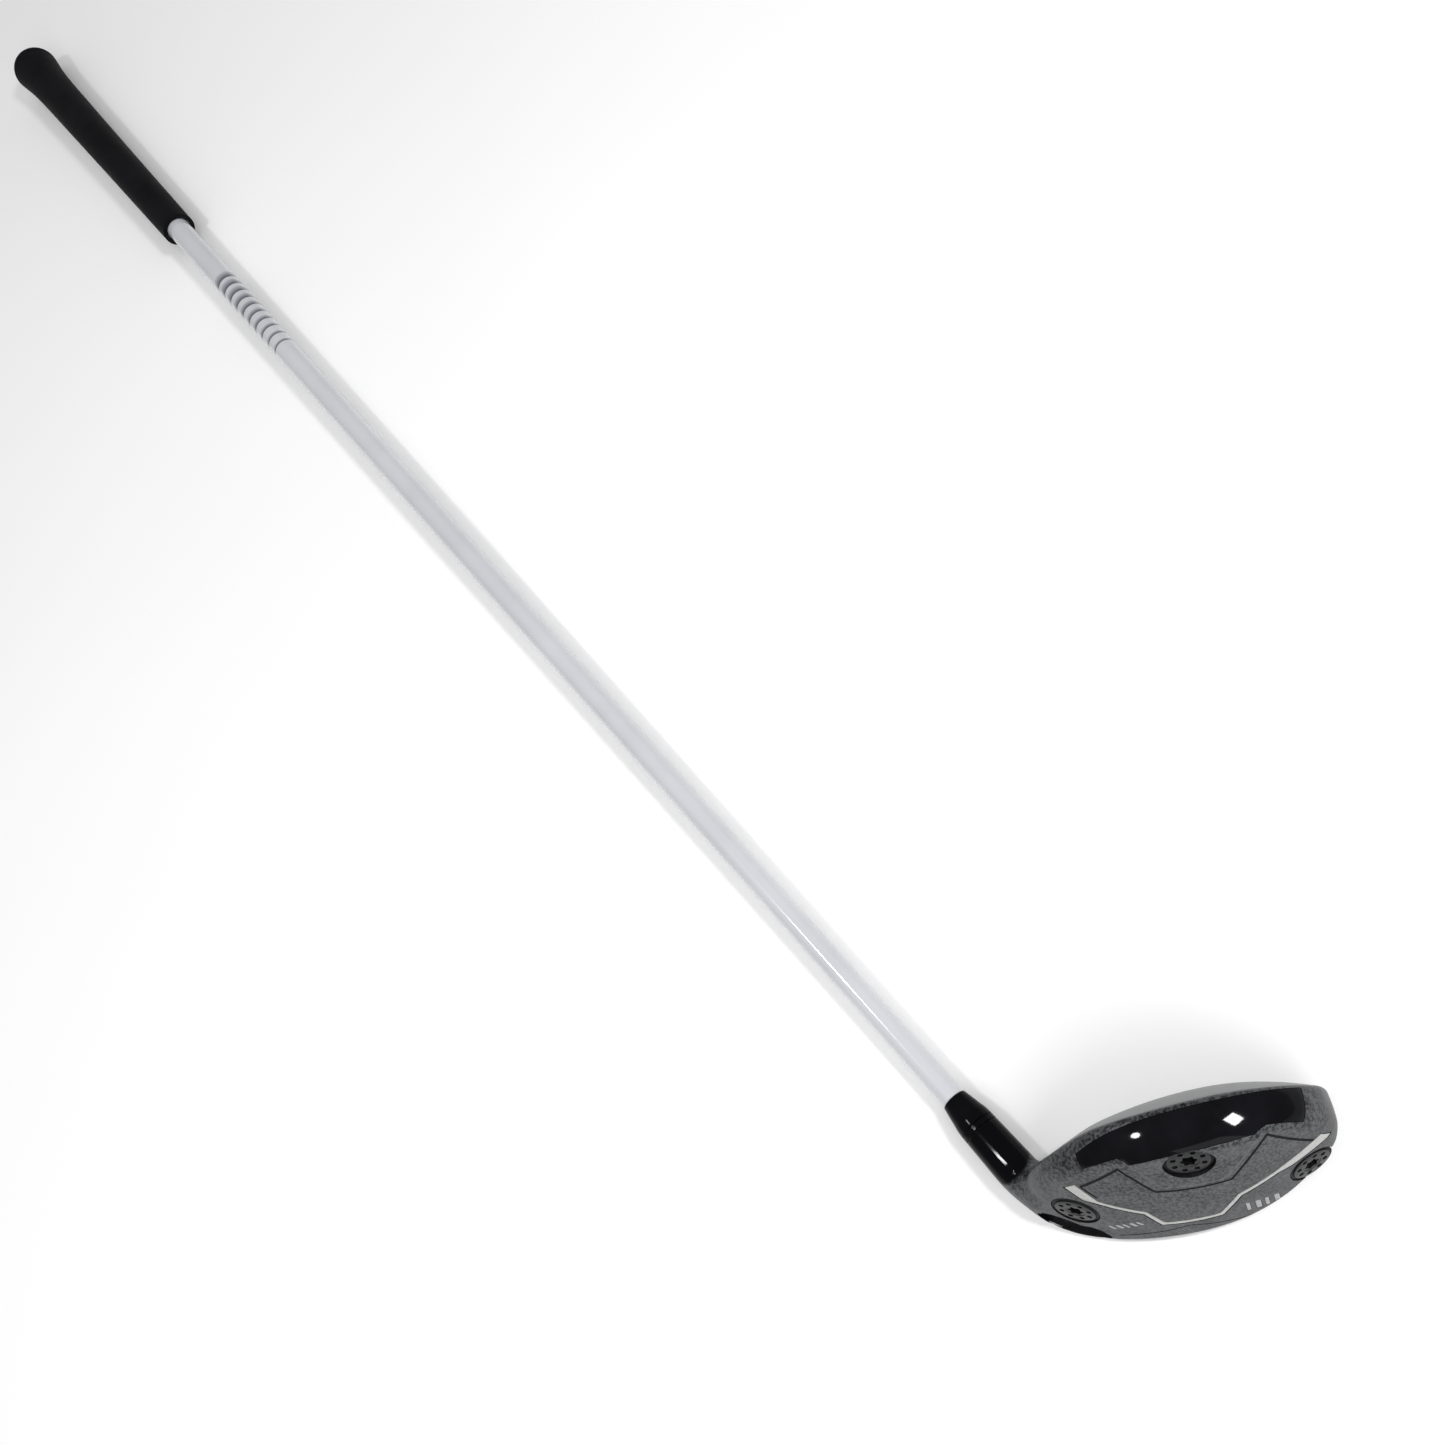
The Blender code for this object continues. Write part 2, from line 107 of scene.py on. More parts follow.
# Plan outline of the head, heel to toe round the back; the face cuts off its front.
OUTLINE = [
    (-12.0, 4.0), (-12.2, -6.0), (-9.5, -19.0), (-1.0, -33.5), (10.8, -44.3), (24.0, -52.3),
    (40.0, -57.2), (57.0, -57.2), (73.0, -52.8), (85.5, -43.5), (92.6, -32.0), (95.4, -20.0),
    (94.6, -8.0), (91.0, 4.0),
]
LEADING_EDGE = [
    (-12.0, 3.3), (-8.0, 5.5), (-2.0, 6.7), (7.0, 5.7), (15.0, 4.4), (25.0, 2.65), (35.0, 1.4),
    (55.0, 0.7), (65.0, -0.2), (76.0, -2.8), (83.0, -6.0), (89.0, -9.8), (92.5, -12.6), (95.2, -16.2),
]
# The raised rear plate of the sole, and the channel that runs round it.
PLATE = [
    (24.8, -62.0), (25.8, -50.4), (34.4, -34.6), (56.0, -33.6), (70.4, -49.6), (73.0, -62.0),
]
WALL_SWELL = 0.54  # how far the rear wall bulges at mid height
PLATE_HEIGHT = (0.9, 2.1)  # low at the front of the plate, high at the rear edge
PLATE_BEVEL = 1.5

BAND_DEPTH = 1.1
BAND_LEAN = 1.5
BAND_LOW = [
    (10.9, 16.5), (16.7, 16.3), (23.6, 16.4), (26.8, 13.5), (32.2, 13.2), (44.5, 13.2), (52.5, 13.4),
    (60.5, 14.0), (68.6, 15.0), (72.8, 17.4), (78.0, 17.5), (85.4, 17.5),
]
BAND_HIGH = [
    (10.0, 21.1), (16.0, 23.1), (22.6, 24.6), (31.5, 25.8), (40.0, 26.3), (48.3, 26.8), (56.4, 27.2),
    (64.3, 27.5), (72.2, 27.8), (80.2, 28.1), (88.0, 28.2),
]
CROWN_ENDS = (7.0, 91.0)
FACE_ENDS = (10.0, 83.0)
SCORE_LINES = 7
SCORE_START = 9.0
SCORE_PITCH = 3.8
SCORE_DEPTH = 0.35
SCORE_HALF = 0.4

# Plan points (x, y) of the sole's inlays.
STRIPE_EDGES = [
    (6.6, -32.0, 2.9, -28.9), (11.0, -25.5, 7.4, -23.0), (12.2, -23.6, 11.5, -22.3),
    (26.9, -18.9, 26.0, -17.6), (31.6, -10.9, 30.4, -9.4), (50.4, -10.5, 51.2, -9.0),
    (57.9, -19.8, 58.9, -18.4),
    (71.3, -23.9, 72.1, -22.4), (76.0, -25.6, 77.3, -22.2), (88.7, -29.3, 91.8, -24.3),
]
# The channel round the plate, its return and the lead crease show as dark lines of painted shade.
GROOVE = [(8.5, -31.9), (23.1, -46.0), (32.4, -32.6), (57.4, -31.5), (72.0, -48.9), (86.2, -28.9)]
GROOVE_RETURN = [(8.5, -31.9), (12.6, -26.3)]
# The screw port's oblong recess, and at its heel end a pale patch that is a painted highlight of the port's
# lit inner wall, as rear and front edge points.
PORT_RECESS = [
    (-4.6, -0.6, -5.0, 4.2), (-2.7, -1.3, -2.6, 5.1), (1.5, -2.8, 1.5, 5.2), (6.1, -3.3, 6.0, 4.7),
    (9.2, -2.0, 9.4, 4.3), (11.0, 0.6, 11.2, 3.7), (11.8, 2.2, 11.8, 2.8),
]
PORT_GLINT_PATCH = [(-9.3, 3.2, -9.3, 4.0), (-8.2, 1.6, -8.2, 4.8), (-5.0, -0.4, -5.2, 4.6)]
LEAD_LINE = [(14.9, -0.4), (39.4, -6.9), (60.5, -0.7)]
MARKS = [((11.5, -6.4), (23.8, -12.2), 5, 2.6), ((58.6, -11.6), (71.6, -7.2), 4, 5.4)]

PAINT_POINT = np.array([-16.0, -8.0, 22.0])
PAINT_NORMAL = np.array([-0.508, -0.5, 0.70])
PAINT_FADE = 0.8
PAINT_REACH = 12.5

STEEL_DARK = (0.016, 0.0165, 0.018)
STEEL_LIGHT = (0.118, 0.121, 0.126)
GLOSS_BLACK = (0.0016, 0.0016, 0.0021)
CROWN_DARK = (0.155, 0.157, 0.161)
CROWN_LIGHT = (0.235, 0.238, 0.243)
STRIPE = (0.32, 0.32, 0.31)
STRIPE_SHADE = (0.41, 0.41, 0.4)
SHAFT_WHITE = (0.56, 0.57, 0.60)
SHAFT_SHADE = (0.51, 0.52, 0.55)
RING_NAVY = (0.028, 0.026, 0.055)
RINGS = 10.0
RING_LOW = 625.05
RING_PITCH = 8.15
RING_LENGTH = (0.3, 0.8)
RUBBER = (0.0035, 0.0035, 0.0045)
RUBBER_WORN = (0.008, 0.008, 0.0095)
FLOOR_WHITE = (0.92, 0.92, 0.92)
FLOOR_SHADE = (0.90, 0.90, 0.90)
WORLD_STRENGTH = 0.44
# Each light: name, azimuth, elevation, distance (m), size (m), radiance, roll and shape.
LIGHTS = [
    ("key_soft", -8.0, 42.0, 2.2, (1.7, 1.7), 3.4, 0.0, "RECTANGLE"),
    ("lamp_heel", -142.0, 56.0, 1.3, (0.13, 0.13), 70.0, 0.0, "ELLIPSE"),
    ("lamp_rear", 71.0, 56.0, 1.3, (0.23, 0.19), 62.0, 12.0, "RECTANGLE"),
    ("lamp_hosel", -136.2, 65.9, 1.29, (0.012, 0.36), 260.0, 0.0, "RECTANGLE"),
    ("glint_heel", -142.0, 56.0, 1.29, (0.15, 0.13), 160.0, 0.0, "ELLIPSE"),
    ("glint_rear", 71.0, 56.0, 1.29, (0.23, 0.2), 160.0, 12.0, "RECTANGLE"),
]
# Lights that fall on a few pieces only.
LIT_PIECES = {
    "lamp_hosel": ("head_shell", "hosel_adapter", "tip_ferrule"),
    "glint_heel": ("skirt_band",),
    "glint_rear": ("skirt_band",),
}

CAMERA_LENS = 38.453
CAMERA_PLACE = (67.5, -583.9, -62.7)
CAMERA_AXES = ((0.9307, 0.3383, -0.1392), (-0.2696, 0.3773, -0.886), (-0.2472, 0.8621, 0.4424))


def club_to_world():
    shaft = Vector(SHAFT)
    rows = (-shaft, Vector((math.sin(LIE), 0.0, math.cos(LIE))), Vector((0.0, -1.0, 0.0)))
    trim = Matrix.Rotation(REST_PITCH, 4, "Y") @ Matrix.Rotation(REST_ROLL, 4, "X")
    return Matrix.Translation(REST_ORIGIN) @ trim @ Matrix(rows).to_4x4() @ Matrix.Scale(0.001, 4)


CLUB = club_to_world()


# ---------------------------------------------------------------- the head as a field


def smooth_curve(points, samples):
    """Catmull-Rom curve through open points."""
    p = np.array([points[0], *points, points[-1]], float)
    t = np.linspace(0.0, 1.0, samples, endpoint=False)[:, None]
    spans = []
    for a, b, c, d in zip(p, p[1:], p[2:], p[3:]):
        spans.append(0.5 * (2 * b + (c - a) * t + (2 * a - 5 * b + 4 * c - d) * t**2
                            + (3 * b - a - 3 * c + d) * t**3))
    return np.vstack([*spans, p[-1:]])


OUTLINE_CURVE = smooth_curve(OUTLINE, 30)
LEAD_CURVE = smooth_curve(LEADING_EDGE, 8)


def lead_y(x):
    return np.interp(x, LEAD_CURVE[:, 0], LEAD_CURVE[:, 1])


def polygon_distance(x, y, polygon):
    """Signed distance to a closed polygon, negative inside."""
    shape = np.broadcast(x, y).shape
    best = np.full(shape, 1e9)
    inside = np.zeros(shape, bool)
    for (ax, ay), (bx, by) in zip(polygon, np.roll(polygon, -1, axis=0)):
        ex, ey = bx - ax, by - ay
        t = np.clip(((x - ax) * ex + (y - ay) * ey) / (ex * ex + ey * ey), 0.0, 1.0)
        best = np.minimum(best, (x - ax - t * ex) ** 2 + (y - ay - t * ey) ** 2)
        crosses = (ay > y) != (by > y)
        if ey:
            inside ^= crosses & (x < ax + (y - ay) * ex / ey)
    return np.where(inside, -1.0, 1.0) * np.sqrt(best)


OUTLINE_RING = np.vstack([OUTLINE_CURVE, [(91.0, 40.0), (-12.0, 40.0)]])
PLAN_STEP = 0.3
PLAN_X = np.arange(-45.0, 110.0, PLAN_STEP)
PLAN_Y = np.arange(-75.0, 25.0, PLAN_STEP)
PLAN_DISTANCE = polygon_distance(PLAN_X[:, None], PLAN_Y[None, :], OUTLINE_RING)


def outline_distance(x, y):
    """Signed distance to the head's plan outline, read from a fine grid."""
    u = np.clip((x - PLAN_X[0]) / PLAN_STEP, 0.0, len(PLAN_X) - 1.001)
    v = np.clip((y - PLAN_Y[0]) / PLAN_STEP, 0.0, len(PLAN_Y) - 1.001)
    i, j = u.astype(int), v.astype(int)
    u, v = u - i, v - j
    low = PLAN_DISTANCE[i, j] * (1.0 - u) + PLAN_DISTANCE[i + 1, j] * u
    high = PLAN_DISTANCE[i, j + 1] * (1.0 - u) + PLAN_DISTANCE[i + 1, j + 1] * u
    return low * (1.0 - v) + high * v


def blend(low, high, t):
    t = np.clip(t, 0.0, 1.0)
    return low + (high - low) * t * t * (3 - 2 * t)


def sole_z(x, y):
    """Height of the sole: cambered from heel to toe, rising towards the rear."""
    back = 4.0 - y
    camber = (x - 39.5) ** 2 / np.where(x < 39.5, 175.0, 190.0)
    rise = 0.272 * back + np.where(back > 0, 0.00142, 0.02) * back * back
    return -6.6 + camber + rise + 0.0016 * back * (43.0 - x)


def raised_sole_z(x, y):
    """The sole with the bevelled rear plate standing out of it."""
    inside = -polygon_distance(x, y, np.array(PLATE))
    height = blend(PLATE_HEIGHT[0], PLATE_HEIGHT[1], (-44.0 - y) / 13.0)
    return sole_z(x, y) - height * np.clip(inside / PLATE_BEVEL, 0.0, 1.0)


def crown_z(x, y):
    ridge = 38.95 - np.where(x < 55.0, 0.0033, 0.0052) * (x - 55.0) ** 2
    behind = np.maximum(0.0, -8.0 - y)
    return ridge - 0.0044 * behind * behind


def face_y(x, z):
    height = z - sole_z(x, lead_y(x))
    return lead_y(x) + 1.2 - height * math.tan(math.radians(14.0)) - (height - 20.0) ** 2 / 640.0


def heel_drop(x):
    """How much lower the crown runs where it meets the neck."""
    return blend(2.0, 0.0, (x + 2.0) / 22.0)


def slope_factor(surface, a, b):
    """Turns a height difference over a surface into a distance from it."""
    da = (surface(a + 0.05, b) - surface(a - 0.05, b)) / 0.1
    db = (surface(a, b + 0.05) - surface(a, b - 0.05)) / 0.1
    return 1.0 / np.sqrt(1.0 + da * da + db * db)


def round_both(a, b, radius):
    """Inside both fields, with the edge between them rounded."""
    u, v = np.maximum(radius + a, 0.0), np.maximum(radius + b, 0.0)
    return np.minimum(-radius, np.maximum(a, b)) + np.sqrt(u * u + v * v)


def fillet_either(a, b, radius):
    """Inside either field, with the corner between them filled."""
    u, v = np.maximum(radius - a, 0.0), np.maximum(radius - b, 0.0)
    return np.maximum(radius, np.minimum(a, b)) - np.sqrt(u * u + v * v)


def hosel_field(x, y, z):
    along = x * SHAFT[0] + z * SHAFT[2]
    off_axis = np.sqrt(np.maximum(x * x + y * y + z * z - along * along, 0.0))
    radius = np.interp(along, [0.0, 33.0, SEAM], [7.9, 7.8, HOSEL_TOP_R])
    return off_axis - radius, along


def head_field(x, y, z):
    """Distance to the head's skin, negative inside."""
    outline = outline_distance(x, y)
    inset_y = np.maximum(y, -57.0)
    low, high = sole_z(x, inset_y), crown_z(x, inset_y)
    share = np.clip((z - low) / np.maximum(high - low, 1.0), 0.0, 1.0)
    wall = outline + WALL_SWELL * (1.0 - np.sin(math.pi * share))
    crown = (z - crown_z(x, y) + heel_drop(x)) * slope_factor(crown_z, x, y)
    front = (y - face_y(x, z)) * math.cos(math.radians(14.0))
    sole = (raised_sole_z(x, y) - z) * slope_factor(sole_z, x, y)
    body = round_both(wall, crown, 1.3)
    body = round_both(body, front, 1.4)
    hosel, along = hosel_field(x, y, z)
    skin = fillet_either(body, hosel, blend(7.0, 1.2, (y + 3.0) / 8.0))
    toe_round = blend(2.2, 4.2, (x - 72.0) / 20.0) + blend(3.0, 0.0, (x + 6.0) / 20.0)
    skin = round_both(skin, sole, toe_round)
    return np.maximum(skin, along - SEAM)


def surface_nets(values, origin, step):
    """Quads along the zero surface of a sampled field."""
    inside = values < 0.0
    counts = np.zeros(np.array(values.shape) - 1, np.int8)
    total = np.zeros((*counts.shape, 3))
    crossings = np.zeros(counts.shape)
    cell = tuple(slice(0, n) for n in counts.shape)
    for axis in range(3):
        others = [a for a in range(3) if a != axis]
        for da in (0, 1):
            for db in (0, 1):
                start = [0, 0, 0]
                start[others[0]], start[others[1]] = da, db
                here = tuple(slice(start[a], start[a] + counts.shape[a]) for a in range(3))
                ahead = tuple(slice(start[a] + (a == axis), start[a] + (a == axis) + counts.shape[a])
                              for a in range(3))
                cut = inside[here] != inside[ahead]
                share = values[here] / np.where(cut, values[here] - values[ahead], 1.0)
                for a in range(3):
                    offset = share if a == axis else float(start[a])
                    total[cell + (a,)] += np.where(cut, offset, 0.0)
                crossings += cut
    used = crossings > 0
    index = np.full(counts.shape, -1, np.int64)
    index[used] = np.arange(used.sum())
    where = np.argwhere(used)
    points = (where + total[used] / crossings[used][:, None]) * step + origin
    quads = []
    for axis in range(3):
        b, c = (axis + 1) % 3, (axis + 2) % 3
        here = [slice(None)] * 3
        here[axis] = slice(0, -1)
        ahead = [slice(None)] * 3
        ahead[axis] = slice(1, None)
        cut = np.argwhere(inside[tuple(here)] != inside[tuple(ahead)])
        for side in (b, c):
            cut = cut[(cut[:, side] > 0) & (cut[:, side] < counts.shape[side])]
        ring = []
        for ob, oc in ((1, 1), (0, 1), (0, 0), (1, 0)):
            at = cut.copy()
            at[:, b] -= ob
            at[:, c] -= oc
            ring.append(index[tuple(at.T)])
        quad = np.stack(ring, 1)
        flip = inside[tuple(cut.T)]
        quad[~flip] = quad[~flip][:, ::-1]
        quads.append(quad)
    return points, np.vstack(quads)


def settle(points, field, rounds=4):
    """Moves points onto the field's zero surface along its gradient."""
    for _ in range(rounds):
        value = field(*points.T)
        gradient = np.stack([
            (field(*(points + d).T) - field(*(points - d).T)) / 0.04 for d in np.eye(3) * 0.02
        ], 1)
        length2 = np.maximum((gradient**2).sum(1), 0.05)
        points = points - gradient * np.clip(value / length2, -0.4, 0.4)[:, None]
    return points


def skin_mesh():
    low, high = np.array([-37.0, -61.0, -9.0]), np.array([98.0, 12.0, 51.0])
    x, y, z = (np.arange(a, b, CELL) for a, b in zip(low, high))
    values = head_field(x[:, None, None], y[None, :, None], z[None, None, :])
    points, quads = surface_nets(values, low, CELL)
    return settle(points, head_field), quads




def hit(points, directions, reach):
    """Where rays from outside first meet the head's skin, and the skin's outward normals."""
    points, directions = np.asarray(points, float), np.asarray(directions, float)
    near, far = np.zeros(len(points)), np.full(len(points), float(reach))
    for _ in range(26):
        middle = 0.5 * (near + far)
        outside = head_field(*(points + directions * middle[:, None]).T) > 0.0
        near, far = np.where(outside, middle, near), np.where(outside, far, middle)
    found = points + directions * near[:, None]
    step = 0.25
    normals = np.stack([
        head_field(*(found + d).T) - head_field(*(found - d).T) for d in np.eye(3) * step
    ], 1)
    return found, normals / np.linalg.norm(normals, axis=1)[:, None]


def sole_hit(xy):
    xy = np.asarray(xy, float)
    start = np.column_stack([xy, sole_z(xy[:, 0], xy[:, 1]) - 6.0])
    return hit(start, np.tile([0.0, 0.0, 1.0], (len(xy), 1)), 20.0)


def plain_sole(xy):
    """The sole before its edges are rounded, for tools that run past its edge."""
    x, y = np.asarray(xy, float).T
    slope_x = (sole_z(x + 0.1, y) - sole_z(x - 0.1, y)) / 0.2
    slope_y = (sole_z(x, y + 0.1) - sole_z(x, y - 0.1)) / 0.2
    normals = np.column_stack([slope_x, slope_y, -np.ones(len(x))])
    return np.column_stack([x, y, sole_z(x, y)]), normals / np.linalg.norm(normals, axis=1)[:, None]


def crown_hit(xy):
    xy = np.asarray(xy, float)
    start = np.column_stack([xy, np.full(len(xy), 60.0)])
    return hit(start, np.tile([0.0, 0.0, -1.0], (len(xy), 1)), 45.0)


REAR_CURVE = OUTLINE_CURVE[OUTLINE_CURVE[:, 0].argmin():OUTLINE_CURVE[:, 0].argmax()]


def rear_hit(xz):
    """Points on the rear wall, looking in along the outline's normal."""
    x, z = np.asarray(xz, float).T
    y = np.interp(x, REAR_CURVE[:, 0], REAR_CURVE[:, 1])
    slope = np.interp(x + 1.5, REAR_CURVE[:, 0], REAR_CURVE[:, 1]) - np.interp(
        x - 1.5, REAR_CURVE[:, 0], REAR_CURVE[:, 1])
    inward = np.column_stack([-slope, np.full(len(x), 3.0), np.zeros(len(x))])
    inward /= np.linalg.norm(inward, axis=1)[:, None]
    start = np.column_stack([x, y, z]) - inward * 8.0
    return hit(start, inward, 20.0)


def face_hit(xz):
    x, z = np.asarray(xz, float).T
    start = np.column_stack([x, face_y(x, z) + 8.0, z])
    return hit(start, np.tile([0.0, -1.0, 0.0], (len(x), 1)), 14.0)


# ---------------------------------------------------------------- mesh building


def to_world(points):
    turn = np.array(CLUB)
    return np.asarray(points, float) @ turn[:3, :3].T + turn[:3, 3]


def add_mesh(name, points, faces, mats, sharp=32.0):
    mesh = bpy.data.meshes.new(name)
    mesh.from_pydata(to_world(points).tolist(), [], [list(map(int, f)) for f in faces])
    for mat in mats:
        mesh.materials.append(mat)
    bm = bmesh.new()
    bm.from_mesh(mesh)
    bmesh.ops.recalc_face_normals(bm, faces=bm.faces)
    bm.to_mesh(mesh)
    bm.free()
    shade(mesh, sharp)
    obj = bpy.data.objects.new(name, mesh)
    bpy.context.scene.collection.objects.link(obj)
    return obj


def shade(mesh, sharp):
    mesh.shade_smooth()
    mesh.set_sharp_from_angle(angle=math.radians(sharp))


def apply_modifiers(obj, sharp=None):
    evaluated = obj.evaluated_get(bpy.context.evaluated_depsgraph_get())
    mesh = bpy.data.meshes.new_from_object(evaluated)
    obj.modifiers.clear()
    old = obj.data
    obj.data = mesh
    bpy.data.meshes.remove(old)
    mesh.name = obj.name
    if sharp:
        shade(mesh, sharp)
    return obj


def cut(obj, tools, sharp=32.0):
    """Takes every tool away from a piece; a cut's walls keep the tool's material."""
    for tool in tools:
        modifier = obj.modifiers.new(tool.name, "BOOLEAN")
        modifier.operation = "DIFFERENCE"
        modifier.solver = "MANIFOLD"
        modifier.material_mode = "TRANSFER"
        modifier.object = tool
    apply_modifiers(obj, sharp)
    for tool in tools:
        bpy.data.objects.remove(tool, do_unlink=True)
    return obj


def soften(obj, width, segments=2, sharp=32.0):
    """Rounds the edges of a piece, by a width in millimetres."""
    modifier = obj.modifiers.new("soften", "BEVEL")
    modifier.width = width * MM
    modifier.segments = segments
    modifier.limit_method = "ANGLE"
    modifier.angle_limit = math.radians(sharp)
    modifier.harden_normals = False
    return apply_modifiers(obj, sharp)


def turned(name, profile, origin, direction, mats, segments=96, zones=None, sharp=32.0):
    """A turned piece: closed round a hollow from (height, radius) pairs, or on its axis."""
    direction = np.asarray(direction, float) / np.linalg.norm(direction)
    side = np.cross(direction, (0.0, 1.0, 0.0))
    side /= np.linalg.norm(side)
    other = np.cross(direction, side)
    angles = np.linspace(0.0, 2 * math.pi, segments, endpoint=False)
    ring = np.outer(np.cos(angles), side) + np.outer(np.sin(angles), other)
    points, rows = [], []
    for height, radius in profile:
        base = np.asarray(origin, float) + direction * height
        start = sum(len(p) for p in points)
        if radius == 0.0:
            points.append(base[None])
            rows.append([start] * segments)
        else:
            points.append(base + ring * radius)
            rows.append(list(range(start, start + segments)))
    hollow = profile[0][1] > 0.0
    pairs = list(zip(rows, rows[1:])) + ([(rows[-1], rows[0])] if hollow else [])
    faces, kinds = [], []
    for number, (a, b) in enumerate(pairs):
        for i in range(segments):
            j = (i + 1) % segments
            loop = list(dict.fromkeys((a[i], a[j], b[j], b[i])))
            faces.append(loop)
            kinds.append(zones[number] if zones else 0)
    obj = add_mesh(name, np.vstack(points), faces, mats, sharp)
    obj.data.polygons.foreach_set("material_index", kinds)
    return obj


def slab(name, found, normals, rows, proud, depth, mats):
    """A closed plate from a grid of skin points, from proud of the skin to a depth in it."""
    columns = len(found) // rows
    top, low = found + normals * proud, found - normals * depth
    grid = np.arange(len(found)).reshape(columns, rows)
    a, b, c, d = grid[:-1, :-1], grid[1:, :-1], grid[1:, 1:], grid[:-1, 1:]
    quads = np.stack([a, b, c, d], -1).reshape(-1, 4)
    rim = np.concatenate([grid[:, 0], grid[-1, 1:], grid[-2::-1, -1], grid[0, -2:0:-1]])
    after = np.roll(rim, -1)
    under = len(found)
    walls = np.stack([rim, after, after + under, rim + under], -1)
    faces = np.vstack([quads, quads[:, ::-1] + under, walls])
    return add_mesh(name, np.vstack([top, low]), faces, mats)


def refine(points, spacing):
    """The same polyline with extra points, and the share of the way along at each."""
    points = np.asarray(points, float)
    spans = np.linalg.norm(np.diff(points, axis=0), axis=1)
    stops = [0.0]
    for number, span in enumerate(spans):
        parts = max(1, math.ceil(span / spacing))
        stops.extend(number + np.arange(1, parts + 1) / parts)
    return np.array(stops)


def along(points, stops):
    points = np.asarray(points, float)
    numbers = np.arange(len(points))
    return np.column_stack([np.interp(stops, numbers, points[:, k]) for k in range(points.shape[1])])


def ribbon(name, left, right, proud, depth, mats, surface=sole_hit, grow=0.0, spacing=1.2, rows=3):
    """An inlay between two edges laid on the head, or the channel it sits in when grown."""
    left, right = np.asarray(left, float), np.asarray(right, float)
    across = right - left
    across /= np.linalg.norm(across, axis=1)[:, None]
    left, right = left - across * grow, right + across * grow
    for edge in (left, right):
        first, last = edge[0] - edge[1], edge[-1] - edge[-2]
        edge[0] += first / np.linalg.norm(first) * grow
        edge[-1] += last / np.linalg.norm(last) * grow
    stops = refine(left, spacing)
    a, b = along(left, stops), along(right, stops)
    shares = np.linspace(0.0, 1.0, rows)
    across = shares[None, :, None]
    plan = (a[:, None, :] * (1 - across) + b[:, None, :] * across).reshape(-1, 2)
    found, normals = surface(plan)
    return slab(name, found, normals, rows, proud, depth, mats)


def mitred(path, width):
    """The two edges of a line of even width, mitred at its corners."""
    path = np.asarray(path, float)
    run = np.diff(path, axis=0)
    run /= np.linalg.norm(run, axis=1)[:, None]
    side = np.column_stack([-run[:, 1], run[:, 0]])
    before, after = np.vstack([side[:1], side]), np.vstack([side, side[-1:]])
    corner = before + after
    corner /= np.linalg.norm(corner, axis=1)[:, None]
    reach = 0.5 * width / np.maximum((corner * before).sum(1), 0.5)
    return path + corner * reach[:, None], path - corner * reach[:, None]


def panel(name, columns, surface, proud, depth, mats):
    """A curved plate of the head from columns of surface points."""
    found, normals = surface(np.vstack(columns))
    return slab(name, found, normals, len(columns[0]), proud, depth, mats)


# ---------------------------------------------------------------- materials


def shader_of(name, colour, roughness, metallic=0.0):
    mat = bpy.data.materials.new(name)
    mat.use_nodes = True
    shader = mat.node_tree.nodes["Principled BSDF"]
    shader.inputs["Base Color"].default_value = (*colour, 1.0)
    shader.inputs["Roughness"].default_value = roughness
    shader.inputs["Metallic"].default_value = metallic
    return mat, mat.node_tree, shader


def add_node(tree, kind, links=(), **settings):
    """A node with its settings, and (socket, source) links or numbers for its inputs."""
    made = tree.nodes.new(kind)
    for key, value in settings.items():
        setattr(made, key, value)
    for socket, source in links:
        if isinstance(source, bpy.types.NodeSocket):
            tree.links.new(source, made.inputs[socket])
        else:
            made.inputs[socket].default_value = source
    return made


def place(tree):
    """Where a point is on the object at rest, in metres."""
    return add_node(tree, "ShaderNodeTexCoord").outputs["Object"]


def noise(tree, size, detail=3.0, stretch=None):
    """Noise with features of a size in millimetres, drawn out along an axis if asked."""
    coords = place(tree)
    if stretch:
        coords = add_node(tree, "ShaderNodeMapping", [("Vector", coords), ("Scale", stretch)]).outputs[0]
    links = [("Vector", coords), ("Scale", 1.0 / (size * MM)), ("Detail", detail), ("Roughness", 0.6)]
    return add_node(tree, "ShaderNodeTexNoise", links).outputs["Fac"]


def remap(tree, value, old, new):
    links = [("Value", value), ("From Min", old[0]), ("From Max", old[1]), ("To Min", new[0])]
    return add_node(tree, "ShaderNodeMapRange", [*links, ("To Max", new[1])]).outputs[0]


def arithmetic(tree, operation, a, b=0.0, clamp=False):
    node = add_node(tree, "ShaderNodeMath", [(0, a), (1, b)], operation=operation, use_clamp=clamp)
    return node.outputs[0]


def vector_math(tree, operation, *sources):
    return add_node(tree, "ShaderNodeVectorMath", enumerate(sources), operation=operation)


def mix_colour(tree, share, a, b):
    """A colour between two, each a linked socket or three numbers."""
    made = add_node(tree, "ShaderNodeMix", data_type="RGBA")
    tree.links.new(share, made.inputs[0])
    for socket, source in ((6, a), (7, b)):
        if isinstance(source, bpy.types.NodeSocket):
            tree.links.new(source, made.inputs[socket])
        else:
            made.inputs[socket].default_value = (*source, 1.0)
    return made.outputs[2]


def roughen(tree, shader, height, depth, strength=1.0):
    """Bump from a height between 0 and 1, with its full depth in millimetres."""
    links = [("Height", height), ("Distance", depth * MM), ("Strength", strength)]
    bump = add_node(tree, "ShaderNodeBump", links)
    tree.links.new(bump.outputs[0], shader.inputs["Normal"])


